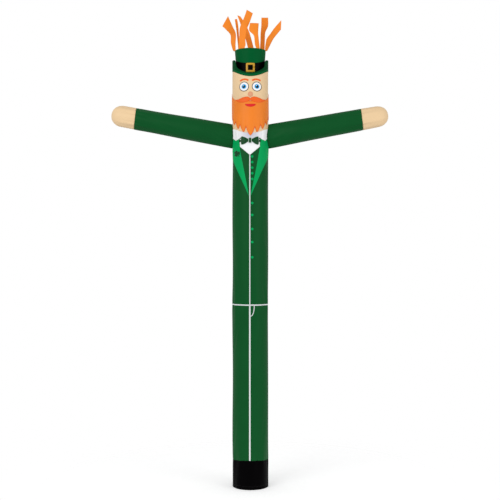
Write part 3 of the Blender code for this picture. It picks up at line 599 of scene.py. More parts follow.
def leaning(side, along, turn):
    """Metres out along an arm, where the seam at the wrist pulls the cloth near it inwards."""
    near = smooth(1 - np.abs(along - out_to(WRIST_REACH[side])) / WRIST_FOLLOW)
    drawn = WRIST_DRAW * np.clip(side * np.sin(turn), 0, 1) ** 1.5 + WRIST_LEAN * (1 - np.cos(turn)) / 2
    return along - near * drawn


def on_arm(side):
    """The wall of one arm: flat points are the distance round it from its top, and metres out along it."""
    turns = np.linspace(-np.pi, np.pi, 97)
    roots, wrist = arm_root(side, turns), out_to(WRIST_REACH[side])

    def wall(round_it, along, lift=0.0):
        turn = round_it / ARM_ROOT
        away = np.abs(along - np.interp(turn, turns, roots, period=math.tau))
        radius = ARM_ROOT - ARM_TAPER * along + creased(turn, along, ARM_CREASES[side], ARM_ROOT)
        radius = radius + gathers(turn, away, ARM_GATHER, 21 + side) - ARM_DRAW * np.exp(-away / TIE_REACH)
        radius = radius + gathers(turn, np.abs(along - wrist), ARM_GATHER, 31 + side)
        radius = radius - ARM_DRAW * np.exp(-np.abs(along - wrist) / TIE_REACH)
        radius = radius + ARM_SWAY * np.sin(2 * turn + side + 6.1 * along)
        return arm_place(side, leaning(side, along, turn), turn, radius + lift)

    return wall


def on_hand(side):
    """The wall of one hand. Its flat points run on from its arm's, over the rounded end to the tip."""
    wrist, tip = out_to(WRIST_REACH[side]), out_to(HAND_REACH[side])
    arm, radius = on_arm(side), ARM_ROOT - ARM_TAPER * wrist

    def wall(round_it, along, lift=0.0):
        turn = round_it / ARM_ROOT
        share = np.clip((along - tip + HAND_END) / HAND_END, 0, 1)
        rounding = (1 - share**HAND_SHAPE) ** (1 / HAND_SHAPE)
        from_seam = radius * rounding * np.abs(np.sin(turn))
        sewn = np.where(np.cos(turn) < 0, 1.0, smooth(3 * share)) * np.sqrt(rounding)
        pucker = HAND_SEAM["pucker"] * np.sin(math.tau * along / HAND_SEAM["pitch"] + 2 * np.sin(turn))
        pull = (HAND_SEAM["draw"] + pucker) * np.exp(-from_seam / HAND_SEAM["reach"]) * sewn
        middle = arm_place(side, leaning(side, along, turn), turn, 0.0)
        out = arm(round_it, along) - middle
        size = np.linalg.norm(out, axis=-1)
        return middle + out * (rounding + (lift - pull) / size)[..., None]

    return wall


ARM_ANGLES, ARM_FELLED = lapped(ARM_ROUND, ARM_ROOT)
under = math.pi * ARM_ROOT  # round an arm from its top to the seam below it
for side, name in ((LEFT, "left"), (RIGHT, "right")):
    arm, hand = on_arm(side), on_hand(side)
    root, wrist, tip = arm_root(side, ARM_ANGLES), out_to(WRIST_REACH[side]), out_to(HAND_REACH[side])
    share = np.linspace(0, 1, round(wrist / ARM_STEP))[:, None]
    along = root + (wrist - 0.0002 - root) * share
    round_it = ARM_ANGLES * ARM_ROOT + 0 * along
    points = arm(round_it, along, ARM_FELLED)
    flat = np.stack((round_it * -side, along), -1)
    sleeve = sheet_of(f"sleeve_cloth_{name}", points[:, ::-1], flat[:, ::-1], green_nylon)
    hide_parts(f"sleeve_{name}")

    bend = np.sin(np.linspace(0, np.pi / 2, 18)) ** 0.9
    straight = np.linspace(wrist + 0.0002, tip - HAND_END, 14)[:-1]
    rows = np.concatenate((straight, tip - HAND_END * (1 - HAND_TIP * bend)))
    along = rows[:, None] + 0 * ARM_ANGLES
    round_it = ARM_ANGLES * ARM_ROOT + 0 * along
    points = hand(round_it, along, ARM_FELLED * smooth((tip - along) / HAND_END))
    flat = np.stack((round_it * -side, along), -1)
    mitten = sheet_of(f"hand_cloth_{name}", points[:, ::-1], flat[:, ::-1], skin_nylon)
    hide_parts(f"hand_{name}")
    tip - wrist

    turn = np.linspace(-np.pi, np.pi, 121)
    round_root = np.stack((turn * ARM_ROOT, arm_root(side, turn) + 0.007), -1)
    inner, outer = ([(-under, z), (under, z)] for z in (wrist - SEAM_ROW, wrist + SEAM_ROW))
    sewn = stitched(f"sleeve_stitches_{name}", [round_root, inner], arm, green_thread)
    rows = felled_rows(under, 0.02, wrist)
    sewn = stitched(f"sleeve_seam_stitches_{name}", rows, arm, green_thread, SEAM_LIFT)
    sewn = stitched(f"hand_stitches_{name}", [outer], hand, skin_thread)

# ---------------------------------------------------------------- shirt front, lapels and collar
# Cut flat from nylon and topstitched to the tube by their edges, with a little slack that the air lifts. The
# lapels run round to the arm holes. The collar's points lie on them. Painted shade greys the collar's white
# and the top of the shirt front towards the neck, under the beard.

FRONT_LINE = -0.007  # x of the closing line of the jacket and trousers
SHIRT_POINT = (FRONT_LINE, 4.200)
SHIRT_OUTLINE = [(-0.1345, 4.405), (-0.1280, 4.305), SHIRT_POINT, (0.1205, 4.308), (0.1215, 4.405)]
BEYOND = RADIUS + 0.030  # an x past the tube's radius lies so much further round behind its side
LAPEL_LEFT = [(-0.1405, 4.404), (-0.1305, 4.303), (-0.1283, 4.261), (-0.0268, 3.735), (-0.0185, 3.684)]
LAPEL_LEFT += [(-0.150, 3.978), (-RADIUS, 4.160), (-BEYOND, 4.190), (-BEYOND, 4.415)]
LAPEL_RIGHT = [(0.1245, 4.404), (0.1225, 4.307), (0.0786, 4.058), (0.0078, 3.722), (0.0040, 3.687)]
LAPEL_RIGHT += [(RADIUS, 4.184), (BEYOND, 4.215), (BEYOND, 4.415)]
COLLAR_LOW, COLLAR_TOP = 4.432, 4.548  # at the tube's sides and behind
COLLAR_HALF = [(0.104, 4.405), (0.119, 4.423), (0.142, 4.405), (0.185, 4.388), (RADIUS, COLLAR_LOW)]
COLLAR_HALF += [(RADIUS, COLLAR_TOP), (0.132, 4.504), (0.066, 4.482)]
LAYER = 0.0015  # one piece of trim and the gap below it
TRIM_GRID = 0.008
ARM_EDGE = 0.004  # trim stops this far from an arm
SLACK, SLACK_FROM = 0.0010, 0.030  # how much the air lifts trim, and how far in from its stitches
PUCKER, PUCKER_PITCH, PUCKER_REACH = 0.0005, 0.026, 0.010
SEWN_IN = 0.004  # from the edge of a piece of trim to its stitches
NECK_SHADE_FROM, NECK_SHADE_REACH = (0.0, 4.475, 0.0), 0.17  # middle of the painted shade under the beard, and how far from it the shade has gone


def fine(line, step):
    """The same flat line with a point every step, so that it bends with its wall."""
    line = np.asarray(line, float)
    length = run_of(line)[-1]
    return at_runs(line, np.linspace(0, length, max(2, math.ceil(length / step) + 1)))


def seen(corners, step=0.008):
    """Flat outline of a shape given as corners (x, height) seen from ahead, with points every step."""
    corners = np.asarray(corners, float)
    parts = []
    for start, end in zip(corners, np.roll(corners, -1, axis=0)):
        count = max(1, round(math.dist(start, end) / step))
        parts.append(start + (end - start) * np.arange(count)[:, None] / count)
    x, height = np.concatenate(parts).T
    x = x * (1 - BULGE * (1 - np.clip(np.abs(x) / RADIUS, 0, 1) ** 4))
    beyond = np.sign(x) * np.clip(np.abs(x) - RADIUS, 0, None)
    return np.stack((np.arcsin(np.clip(x / RADIUS, -1, 1)) * RADIUS + beyond, height), -1)


def both_halves(half, line=0.0):
    """Closed outline from its half on the +X side, measured from the line that it is mirrored in."""
    return [(line + x, z) for x, z in half] + [(line - x, z) for x, z in reversed(half) if x > 0]


def area_in(outline):
    x, z = np.asarray(outline).T
    return (x @ np.roll(z, -1) - z @ np.roll(x, -1)) / 2


def anticlockwise(outline):
    return outline if area_in(outline) > 0 else outline[::-1]


def from_edge(places, outline):
    """Distance of flat places from an outline, and how far round it the nearest point is."""
    start, run = outline, np.roll(outline, -1, axis=0) - outline
    length = np.maximum(np.hypot(*run.T), 1e-9)
    to = places[:, None] - start
    share = np.clip((to * run).sum(-1) / length**2, 0, 1)
    away = np.linalg.norm(to - share[..., None] * run, axis=-1)
    nearest, row = away.argmin(axis=1), np.arange(len(places))
    return away[row, nearest], (np.cumsum(length) - length)[nearest] + share[row, nearest] * length[nearest]


def patch(name, outline, wall, finish, layer, relief=None, at_arms=False, grid=TRIM_GRID, slack=SLACK):
    """Cloth cut to a flat outline, anticlockwise, and sewn down on a wall, so many layers of trim up."""
    cut = bmesh.new()
    cut.faces.new([cut.verts.new((*place, 0.0)) for place in outline])
    for axis, normal in enumerate(((1, 0, 0), (0, 1, 0))):
        low, high = outline[:, axis].min(), outline[:, axis].max()
        for line in np.arange(math.floor(low / grid) + 1, math.ceil(high / grid)) * grid:
            place = [line if other == axis else 0.0 for other in range(3)]
            everything = cut.verts[:] + cut.edges[:] + cut.faces[:]
            bmesh.ops.bisect_plane(cut, geom=everything, dist=1e-5, plane_co=place, plane_no=normal)
    bmesh.ops.triangulate(cut, faces=cut.faces[:])
    flat = np.array([vert.co[:2] for vert in cut.verts])
    cut.verts.index_update()
    faces = np.array([[vert.index for vert in face.verts] for face in cut.faces])
    cut.free()
    away, run = from_edge(flat, outline)
    lift = LAYER * (layer + 1) + slack * smooth(away / SLACK_FROM)
    lift = lift + PUCKER * np.exp(-away / PUCKER_REACH) * (np.sin(math.tau * run / PUCKER_PITCH) - 1) * 0.5
    if relief:
        lift = lift + relief(flat, away)
    round_it, height = flat.T
    if at_arms:
        round_it, height, inside = off_the_arms(round_it, height, ARM_EDGE)
        faces = faces[~inside[faces].all(axis=1)]
        flat = np.stack((round_it, height), -1)
    (ax, az), (bx, bz) = ((flat[faces[:, corner]] - flat[faces[:, 0]]).T for corner in (1, 2))
    return piece_of(name, wall(round_it, height, lift), faces, flat, finish), (ax * bz - az * bx).sum() / 2


def inset(outline, depth, step=0.004):
    """Closed flat line that far inside an outline, its corners eased."""
    line = fine(np.vstack((outline, outline[:1])), step)[:-1]
    ease = max(1, round(depth / step))
    line = sum(np.roll(line, shift, axis=0) for shift in range(-ease, ease + 1)) / (2 * ease + 1)
    return line + left_of(np.roll(line, -1, axis=0) - np.roll(line, 1, axis=0)) * depth


def off_arms(line):
    """The longest stretch of a flat line that lies clear of the arms."""
    inside = off_the_arms(*line.T, ARM_EDGE + 0.003)[2]
    start = int(np.flatnonzero(inside)[0]) if inside.any() else 0
    line, inside = np.roll(line, -start, axis=0), np.roll(inside, -start)
    runs = np.split(np.arange(len(line)), np.flatnonzero(np.diff(inside.astype(int))) + 1)
    return line[max((run for run in runs if not inside[run[0]]), key=len)]


def sewn_patch(node, outline, finish, sewing, slot, layer, wall=on_tube, **shape):
    """A patch that stands for a node, with one row of topstitches just inside its edge."""
    outline = anticlockwise(outline)
    piece, area = patch(f"{node}_cloth", outline, wall, finish, layer, **shape)
    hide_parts(node)
    line = inset(outline, SEWN_IN)
    line = off_arms(line) if shape.get("at_arms") else np.vstack((line, line[:1]))

    def surface(round_it, height, lift):
        if relief := shape.get("relief"):
            places = np.stack((round_it.ravel(), height.ravel()), -1)
            lift = lift + relief(places, np.full(len(places), SEWN_IN)).reshape(round_it.shape)
        return wall(round_it, height, lift)

    stitched(f"{node}_stitches", [line], surface, sewing, LAYER * (layer + 1))


# The second colour is painted shade: the grey that the collar and shirt front take towards the neck
WHITE, PAINTED_NECK_SHADE = (247, 247, 249), (188, 188, 206)
LAPEL_GREEN = (0, 163, 88)
white_nylon = nylon("white_nylon", WHITE, gloss=0.18)
lapel_nylon = nylon("lapel_nylon", LAPEL_GREEN, gloss=0.06)
collar_nylon = nylon("collar_nylon", WHITE, gloss=0.18)
# Painted shade: the white greys towards the neck, as if the beard shaded it
neck_shade = (1 - collar_nylon.away_from(NECK_SHADE_FROM) / NECK_SHADE_REACH).held()
collar_nylon.drive("Base Color", collar_nylon.mixed(neck_shade, collar_nylon.dyed(), dye(*PAINTED_NECK_SHADE)))
white_thread, lapel_thread = thread("white_thread", (226, 226, 232)), thread("lapel_thread", (46, 190, 120))

# The shirt front is cut from the collar's nylon, so the painted neck shade greys its top as well
sewn_patch("shirt_front", seen(SHIRT_OUTLINE), collar_nylon, white_thread, "white_cloth", 0)
for node, corners in (("lapel_left", LAPEL_LEFT), ("lapel_right", LAPEL_RIGHT)):
    sewn_patch(node, seen(corners), lapel_nylon, lapel_thread, "lapel_green", 0, at_arms=True)
collar = seen(both_halves(COLLAR_HALF))
sewn_patch("collar_front", collar, collar_nylon, white_thread, "white_cloth", 1, at_arms=True)
quarter = RADIUS * math.pi / 2
back = [(x, COLLAR_LOW) for x in np.linspace(quarter, 3 * quarter, 60)]
back = np.array(back + [(x, COLLAR_TOP) for x, _ in reversed(back)])
sewn_patch("collar_back", back, white_nylon, white_thread, "white_cloth", 0, at_arms=True)

# ---------------------------------------------------------------- tapes
# White grosgrain tape, topstitched along both edges: over the waist seam, down the closing line of the jacket
# and the trousers, and in a bow round the fly.

WAIST_TAPE, TAPE_WIDTH, LOWER_TAPE_WIDTH = 0.0150, 0.0140, 0.0188
TAPE_LINE = WAIST + 0.004  # middle of the waist tape, which covers the seam with its lower half
# The fly's tape runs out level, and then down a quarter of an oval, so far out and so far down
FLY_TAPE, FLY_REACH, FLY_DROP, FLY_RUN = 0.010, 0.043, 0.128, 0.004
TAPE_SEWN_IN = 0.003  # from a tape's edge to its stitches
# The second grey is painted shade, for the grooves between the tape's ribs
TAPE_GREY, TAPE_PAINTED_SHADE = (234, 237, 238), (209, 212, 214)
RIB, RIB_HIGH = 0.0013, 0.00025  # spacing and height of the tape's ribs


def strip_round(low, top, rows, wall, radius, lift, angles, felled):
    """Points and flat places of cloth round a wall, between edges given as functions of the angle."""
    share = np.linspace(0, 1, rows)[:, None]
    height = low(angles) + (top(angles) - low(angles)) * share
    round_it = angles * radius + 0 * height
    return wall(round_it, height, lift + felled), np.stack((round_it, height), -1)


def grosgrain(name, ribs):
    """Woven tape with close ribs square to its length. `ribs` says which way they follow each other."""
    finish = Finish(name, dye(*TAPE_GREY), Specular_IOR_Level=0.15)
    rib = ((finish.along() if ribs == "up" else finish.across()) * (math.tau / RIB)).wave() * 0.5 + 0.5
    cloud = finish.node("TexNoise", None, {"Vector": finish.place(), "Scale": 9.0, "Detail": 3.0})
    worn = finish.mixed(cloud, dye(*TAPE_GREY, 0.93), dye(*TAPE_GREY, 1.07))
    # Painted shade: the tape greys in the grooves between its raised ribs
    finish.drive("Base Color", finish.mixed(rib, finish.mixed(0.5, worn, dye(*TAPE_PAINTED_SHADE)), worn))
    finish.drive("Roughness", 0.55 + 0.15 * cloud)
    finish.raise_by(rib * RIB_HIGH, 0.7)
    return finish


def strip(line, width):
    """Corners of a tape of even width along a line, as seen from the front."""
    line = np.asarray(line, float)
    side = -left_of(np.gradient(line, axis=0)) * width / 2
    return np.concatenate((line + side, (line - side)[::-1]))


tape_up, tape_round = grosgrain("tape_up", "up"), grosgrain("tape_round", "round")
half = WAIST_TAPE / 2
edges = [lambda angle, z=z: z + 0 * angle for z in (TAPE_LINE - half, TAPE_LINE + half)]
points, flat = strip_round(*edges, 6, on_tube, RADIUS, LAYER, ANGLES, FELLED)
waist_tape = sheet_of("waist_tape_cloth", points, flat, tape_round)
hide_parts("waist_tape")
rows = level_rows(TAPE_LINE - half + TAPE_SEWN_IN, TAPE_LINE + half - TAPE_SEWN_IN)
stitched("waist_tape_stitches", rows, on_tube, white_thread, LAYER)

beside_tape = FRONT_LINE + LOWER_TAPE_WIDTH / 2 + BUTTED
bow_x, bow_z = beside_tape + FLY_RUN, TAPE_LINE - half - 0.0013
turns = np.radians(np.linspace(0, 90, 30))
fly = np.stack((bow_x + FLY_REACH * np.cos(turns), bow_z - FLY_DROP * np.sin(turns)), -1)
fly = np.vstack((fly, [(beside_tape, bow_z - FLY_DROP)]))
upper = [(FRONT_LINE, z) for z in (TAPE_LINE + half + BUTTED, SHIRT_POINT[1] - 0.001)]
lower = [(FRONT_LINE, z) for z in (CUFF_TOP + 0.001, TAPE_LINE - half - BUTTED)]
for node, line, width in (
    ("front_tape_upper", upper, TAPE_WIDTH),
    ("front_tape_lower", lower, LOWER_TAPE_WIDTH),
    ("fly_tape", fly, FLY_TAPE),
):
    outline = anticlockwise(seen(strip(line, width)))
    tape, area = patch(f"{node}_cloth", outline, on_tube, tape_up, 0, slack=0.0)
    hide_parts(node)
    area / width
    line = inset(outline, TAPE_SEWN_IN, 0.003)
    sewn = stitched(f"{node}_stitches", [np.vstack((line, line[:1]))], on_tube, white_thread, LAYER)

# ---------------------------------------------------------------- bow tie, buttons and clover
# A flat bow of dark green satin with its folds pressed in and a pale satin-stitched border, and its knot over
# it. The buttons are cloth domes over a little wadding, and the clover is cut out and sewn on the lapel.

BOW_LINE = -0.0045  # x of the bow's middle; its outlines are measured from there
WING_LOW = [(0.014, 4.368), (0.029, 4.364), (0.050, 4.347), (0.076, 4.334), (0.100, 4.329), (0.112, 4.338)]
WING_TOP = [(0.112, 4.430), (0.100, 4.439), (0.076, 4.432), (0.050, 4.420), (0.029, 4.408), (0.014, 4.404)]
BOW_BAND = [(0.115, 4.366), (0.137, 4.366), (0.137, 4.395), (0.115, 4.395)]  # its band, beyond the wing
KNOT_HALF = [(0.013, 4.349), (0.020, 4.358), (0.020, 4.412), (0.013, 4.421)]
BOW_MIDDLE = 4.386
BOW_FOLDS = ((-0.34, 0.0040), (0.02, 0.0028), (0.36, 0.0044))  # each fold's slope and depth
BOW_EDGE = 0.0062  # width of the border round the knot; the wings' is half as wide
BOW_PUFF, KNOT_PUFF = 0.0045, 0.0040
SMALL_STEP, SMALL_GRID = 0.004, 0.005  # spacing of a small patch's corners, and of the cuts across its cloth
FINE_GRID = 0.004
BOW_GREEN, BOW_BORDER, CLOVER_GREEN = (8, 66, 30), (206, 220, 210), (4, 66, 32)
BUTTON_ACROSS, BUTTON_RADIUS = 0.0229, 0.017
BUTTON_HEIGHTS = (4.182, 4.111, 4.042, 3.972, 3.900, 3.599, 3.449, 3.273, 3.109, 2.919)
# A button from its middle out: shares of its radius, and heights above the tube. Its two ends are closed
BUTTON_FORM = ((0.30, 0.0062), (0.58, 0.0054), (0.80, 0.0040), (0.94, 0.0022), (1.0, 0.0008), (0.97, 0.0002))
BUTTON_RISE, BUTTON_SIDES = 0.0065, 24
CLOVER_PLACE, CLOVER_LEAF, CLOVER_LEAN = np.array((-0.166, 4.224)), 0.043, math.radians(36)
LEAF_WAIST, LEAF_NOTCH, NOTCH_SPREAD = 0.30, 0.22, 20  # shares of a leaf's reach, and half a notch in degrees
STALK_HALF, STALK_FOOT, STALK_TOP = 0.12, -1.15, -0.42
BEAD_FORM = np.array([(1, 0), (0.7, 0.75), (0, 1), (-0.7, 0.75), (-1, 0), (0, -0.3)])
SATIN_THREAD, SATIN_HIGH = 0.0010, 0.0002  # spacing and height of the threads of satin stitch


def satin_stitch(name, colour):
    """Threads laid side by side across a line of embroidery."""
    finish = Finish(name, dye(*colour), Roughness=0.42, Specular_IOR_Level=0.3)
    thread_by = (finish.across() * (math.tau / SATIN_THREAD)).wave() * 0.5 + 0.5
    finish.drive("Base Color", finish.mixed(thread_by, dye(*colour, 0.72), dye(*colour, 1.12)))
    finish.raise_by(thread_by * SATIN_HIGH, 0.7)
    return finish


def edging(name, line, finish, lift, width, height):
    """Embroidered border along a closed flat line on the tube: a low rounded bead."""
    side = left_of(np.roll(line, -1, axis=0) - np.roll(line, 1, axis=0))
    places = line[:, None] + side[:, None] * BEAD_FORM[:, :1] * width / 2
    points = on_tube(places[..., 0], places[..., 1], lift + height * BEAD_FORM[:, 1])
    quads = quads_of(np.arange(places[..., 0].size).reshape(len(line), -1), (1, 1))
    run = np.cumsum(np.hypot(*(np.roll(line, -1, axis=0) - line).T))[:, None]
    flat = np.stack((run + 0 * BEAD_FORM[:, 0], BEAD_FORM[:, 0] * width / 2 + 0 * run), -1)
    return piece_of(name, points.reshape(-1, 3), quads, flat.reshape(-1, 2), finish, thick=0)


def bow_folds(flat, away):
    """The bow swells from its edges, and folds run out from its knot and fade."""
    x, z = np.abs(flat[:, 0] - BOW_LINE), flat[:, 1] - BOW_MIDDLE
    lift = BOW_PUFF * smooth(away / 0.022)
    for slope, deep in BOW_FOLDS:
        fade = np.exp(-x / 0.055) * smooth(x / 0.02)
        lift = lift - deep * fade * np.exp(-(((z - slope * x) / (0.003 + 0.05 * x)) ** 2))
    return lift


def knot_folds(flat, away):
    x = (flat[:, 0] - BOW_LINE) / 0.024
    return KNOT_PUFF * smooth(away / 0.012) - 0.0012 * np.exp(-(((np.abs(x) - 0.35) / 0.14) ** 2))


bow_satin = nylon("bow_satin", BOW_GREEN, roughness=0.4, gloss=0.14, crinkle=0.0004)
clover_nylon = nylon("clover_nylon", CLOVER_GREEN)
bow_border = satin_stitch("bow_border", BOW_BORDER)
bow_outline = seen(both_halves(WING_LOW + BOW_BAND + WING_TOP, BOW_LINE), 0.005)
wing = WING_LOW + WING_TOP
wings = [seen([(BOW_LINE + side * x, z) for x, z in wing], SMALL_STEP) for side in (LEFT, RIGHT)]
knot_outline = seen(both_halves(KNOT_HALF, BOW_LINE), SMALL_STEP)
shape = {"relief": bow_folds, "grid": SMALL_GRID, "slack": 0.0}
sewn_patch("bow_tie", bow_outline, bow_satin, green_thread, "dark_green", 2, **shape)
shape = {"relief": knot_folds, "grid": FINE_GRID, "slack": 0.0}
sewn_patch("bow_knot", knot_outline, bow_satin, green_thread, "dark_green", 3, **shape)
for name, outline, wide, layers in (
    ("left_wing", wings[0], BOW_EDGE / 2, 3),
    ("right_wing", wings[1], BOW_EDGE / 2, 3),
    ("knot", knot_outline, BOW_EDGE, 4),
):
    line = inset(anticlockwise(outline), wide / 2, 0.0015)
    edging(f"{name}_border", line, bow_border, LAYER * layers, wide, 0.002)

lobes = np.radians(np.arange(-70, 251, 4))
from_leaf = (np.degrees(lobes) + 90) % 120 - 60
reach = LEAF_WAIST + (1 - LEAF_WAIST) * np.clip(np.cos(np.radians(1.5 * from_leaf)), 0, 1) ** 0.5
reach = reach - LEAF_NOTCH * np.clip(1 - np.abs(from_leaf) / NOTCH_SPREAD, 0, 1)
leaves = np.stack((reach * np.cos(lobes), reach * np.sin(lobes)), -1)
stalk = [(STALK_HALF, STALK_FOOT), (STALK_HALF, STALK_TOP)]
other_side = [(-STALK_HALF, STALK_TOP), (-STALK_HALF, STALK_FOOT)]
cos, sin = math.cos(CLOVER_LEAN), math.sin(CLOVER_LEAN)
lean = np.array(((cos, sin), (-sin, cos)))
clover_outline = seen(CLOVER_PLACE + np.concatenate((stalk, leaves, other_side)) @ lean * CLOVER_LEAF, 0.003)
shape = {"grid": FINE_GRID, "slack": 0.0012}
sewn_patch("clover", clover_outline, clover_nylon, green_thread, "dark_green", 1, **shape)
veins = []
for degrees in (-30, 90, 210):
    vein = np.array([(math.cos(math.radians(degrees)), math.sin(math.radians(degrees)))]) * [[0.06], [0.72]]
    ends = seen(CLOVER_PLACE + vein @ lean * CLOVER_LEAF, CLOVER_LEAF)
    veins.append(fine(ends[:2], SMALL_STEP))
stitched("clover_veins", veins, on_tube, green_thread, 2 * LAYER + 0.001)

around = np.linspace(0, math.tau, BUTTON_SIDES, endpoint=False)
radii, lifts = np.array(BUTTON_FORM).T
corner = 1 + np.arange(len(radii) * BUTTON_SIDES).reshape(-1, BUTTON_SIDES)
beside = np.roll(corner, -1, axis=1)
walls = quads_of(corner, (0, 1))[:, ::-1]
top = np.stack((corner[0], beside[0], 0 * corner[0]), -1)
underside = np.stack((beside[-1], corner[-1], 0 * corner[0] + corner.size + 1), -1)
triangles = np.concatenate((walls[:, :3], walls[:, [0, 2, 3]], top, underside))
for number, middle in enumerate(BUTTON_HEIGHTS, 1):
    x = BUTTON_ACROSS + BUTTON_RADIUS * np.concatenate(([0], np.outer(radii, np.cos(around)).ravel(), [0]))
    z = middle + BUTTON_RADIUS * np.concatenate(([0], np.outer(radii, np.sin(around)).ravel(), [0]))
    lift = np.concatenate(([BUTTON_RISE], np.repeat(lifts, BUTTON_SIDES), lifts[-1:]))
    flat = np.stack((np.arcsin(x / RADIUS) * RADIUS, z), -1)
    points = on_tube(flat[:, 0], flat[:, 1], lift)
    button = piece_of(f"button_dome_{number:02d}", points, triangles, flat, lapel_nylon, thick=0)
    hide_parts(f"button_{number:02d}")

# ---------------------------------------------------------------- face
# Round white eyes bordered in black satin stitch, each with a blue iris sewn on and a short padded brow, and
# a padded nose. All plain shapes, cut from nylon and topstitched.

EYE_ACROSS, EYE_HEIGHT = 0.080, 5.060
EYE_RADIUS, IRIS_RADIUS, PUPIL_RADIUS = 0.060, 0.036, 0.018
BROW_RADIUS, BROW_WIDTH, BROW_LEAN = 0.091, 0.020, 0.004
BROW_TURNS = (126, 56)  # the part of its round that a brow follows, in degrees
NOSE_HEIGHT, NOSE_RADIUS, NOSE_PUFF = 4.964, 0.033, 0.0085
DEEP_ORANGE, ROSY, RED, BORDER_BLACK = (247, 104, 30), (228, 164, 126), (226, 30, 38), (14, 13, 14)
BLUE, BLUE_RIM, PUPIL_BLACK, GLINT_WHITE = (0, 166, 233), (13, 96, 150), (22, 20, 22), (250, 250, 252)
# Rounds dyed on an iris, from the largest to the smallest: radius, colour, how far across and how far up.
# The smallest is a painted highlight, a white glint.
IRIS_ROUNDS = (
    (IRIS_RADIUS - 0.0055, BLUE, 0.0, 0.0),
    (PUPIL_RADIUS, PUPIL_BLACK, 0.0, -0.002),
    # painted highlight: a white glint
    (0.0052, GLINT_WHITE, -0.008, 0.009),
)
DYE_EDGE = 0.0012  # one dyed colour passes into the next over this width


def round_of(x, height, radius, points=64):
    """Corners of a round, as seen from the front."""
    turn = np.linspace(0, math.tau, points, endpoint=False)
    return np.stack((x + radius * np.cos(turn), height + radius * np.sin(turn)), -1)


def puffed(high, over):
    """Wadding below a patch, up to so high, reached so far in from its edge."""
    return lambda flat, away: high * smooth(away / over)


def spotted(name, colour, x, height, rounds):
    """Nylon with rounds dyed on it, placed from a point that is given as seen from the front."""
    finish = nylon(name, colour)
    dyed = finish.dyed()
    for radius, spot, aside, up in rounds:
        middle = (math.asin((x + aside) / RADIUS) * RADIUS, height + up, 0.0)
        inside = (radius - finish.away_from(middle)) / DYE_EDGE + 0.5
        dyed = finish.mixed(inside.held(), dyed, dye(*spot))
    finish.drive("Base Color", dyed)
    return finish


deep_nylon = nylon("deep_orange_nylon", DEEP_ORANGE)
rosy_nylon = nylon("rosy_nylon", ROSY)
red_nylon = nylon("red_nylon", RED)
black_border = satin_stitch("black_border", BORDER_BLACK)
deep_border = satin_stitch("deep_border", DEEP_ORANGE)
deep_thread, rosy_thread = thread("deep_thread", (240, 92, 30)), thread("rosy_thread", (206, 134, 98))
blue_thread, red_thread = thread("blue_thread", (20, 120, 180)), thread("red_thread", (170, 20, 30))

for side, name in ((LEFT, "left"), (RIGHT, "right")):
    x = side * EYE_ACROSS
    eye, over = seen(round_of(x, EYE_HEIGHT, EYE_RADIUS), SMALL_STEP), puffed(0.0022, 0.02)
    sewn_patch(f"eye_{name}", eye, white_nylon, white_thread, "white_cloth", 0, relief=over)
    border = edging(f"eye_border_{name}", inset(eye, 0.0035, 0.003), black_border, LAYER, 0.0085, 0.0022)
    iris, over = seen(round_of(x, EYE_HEIGHT, IRIS_RADIUS), 0.003), puffed(0.0030, 0.012)
    iris_nylon = spotted(f"iris_nylon_{name}", BLUE_RIM, x, EYE_HEIGHT, IRIS_ROUNDS)
    sewn_patch(f"iris_{name}", iris, iris_nylon, blue_thread, "blue_cloth", 1, relief=over, grid=SMALL_GRID)
    turns = np.radians(np.linspace(*BROW_TURNS, 20))
    middle = x - side * BROW_LEAN
    line = np.stack((middle + BROW_RADIUS * np.cos(turns), EYE_HEIGHT + BROW_RADIUS * np.sin(turns)), -1)
    brow, over = seen(strip(line, BROW_WIDTH), SMALL_STEP), puffed(0.0040, 0.008)
    sewn_patch(f"brow_{name}", brow, deep_nylon, deep_thread, "deep_orange", 0, relief=over, grid=SMALL_GRID)

nose = seen(round_of(0.0, NOSE_HEIGHT, NOSE_RADIUS), SMALL_STEP)
shape = {"relief": puffed(NOSE_PUFF, 0.026), "grid": SMALL_GRID, "slack": 0.0}
sewn_patch("nose", nose, rosy_nylon, rosy_thread, "rosy_cloth", 0, **shape)

# ---------------------------------------------------------------- beard and moustache
# The beard is one piece of orange nylon cut in locks over the jaw, bordered in a deeper orange, with grooves
# sewn up it between the locks. The moustache over it is wadded and drawn in at its middle, above a red smile.

BEARD_LOW = {"side": 4.745, "front": 4.545, "shape": 1.6}  # heights of the notches between its locks
BEARD_TOP = {"side": 5.005, "front": 4.880, "shape": 3.0}
BEARD_WRAP = 0.020  # how far the sideburns run on behind the tube's sides
# Locks of the beard from its middle out: where each ends, as a share of the half width, and how far it hangs
BEARD_LOCKS = ((0.15, 0.104), (0.36, 0.076), (0.58, 0.066), (0.79, 0.056), (1.0, 0.046))
LOCK_LEAN = 0.38  # how far across an outer lock its tip is, from the end nearer the middle
# A lock's edge: shares of the way across to its tip, and of the drop
LOCK_CURVE = ((0.0, 0.0), (0.30, 0.44), (0.62, 0.78), (1.0, 1.0))
BEARD_PUFF, GROOVE_DEEP, GROOVE_WIDE, GROOVE_LONG = 0.0014, 0.0040, 0.010, 0.24
MOUSTACHE_HALF = [(0.0, 4.886), (0.045, 4.868), (0.095, 4.860), (0.145, 4.869), (0.182, 4.904)]
MOUSTACHE_HALF += [(0.150, 4.904), (0.100, 4.923), (0.050, 4.932), (0.018, 4.926), (0.0, 4.912)]
MOUSTACHE_PUFF, MOUSTACHE_MIDDLE = 0.0055, 4.898
SMILE_HEIGHT, SMILE_HALF, SMILE_DEPTH = 4.840, 0.066, 0.036
HAIR_ORANGE = (243, 132, 38)

beard_half = RADIUS * math.pi / 2 + BEARD_WRAP


def beard_edge(edge, place):
    """Height of an edge of the beard at a place from -1 to 1 across it."""
    return edge["front"] + (edge["side"] - edge["front"]) * np.abs(place) ** edge["shape"]


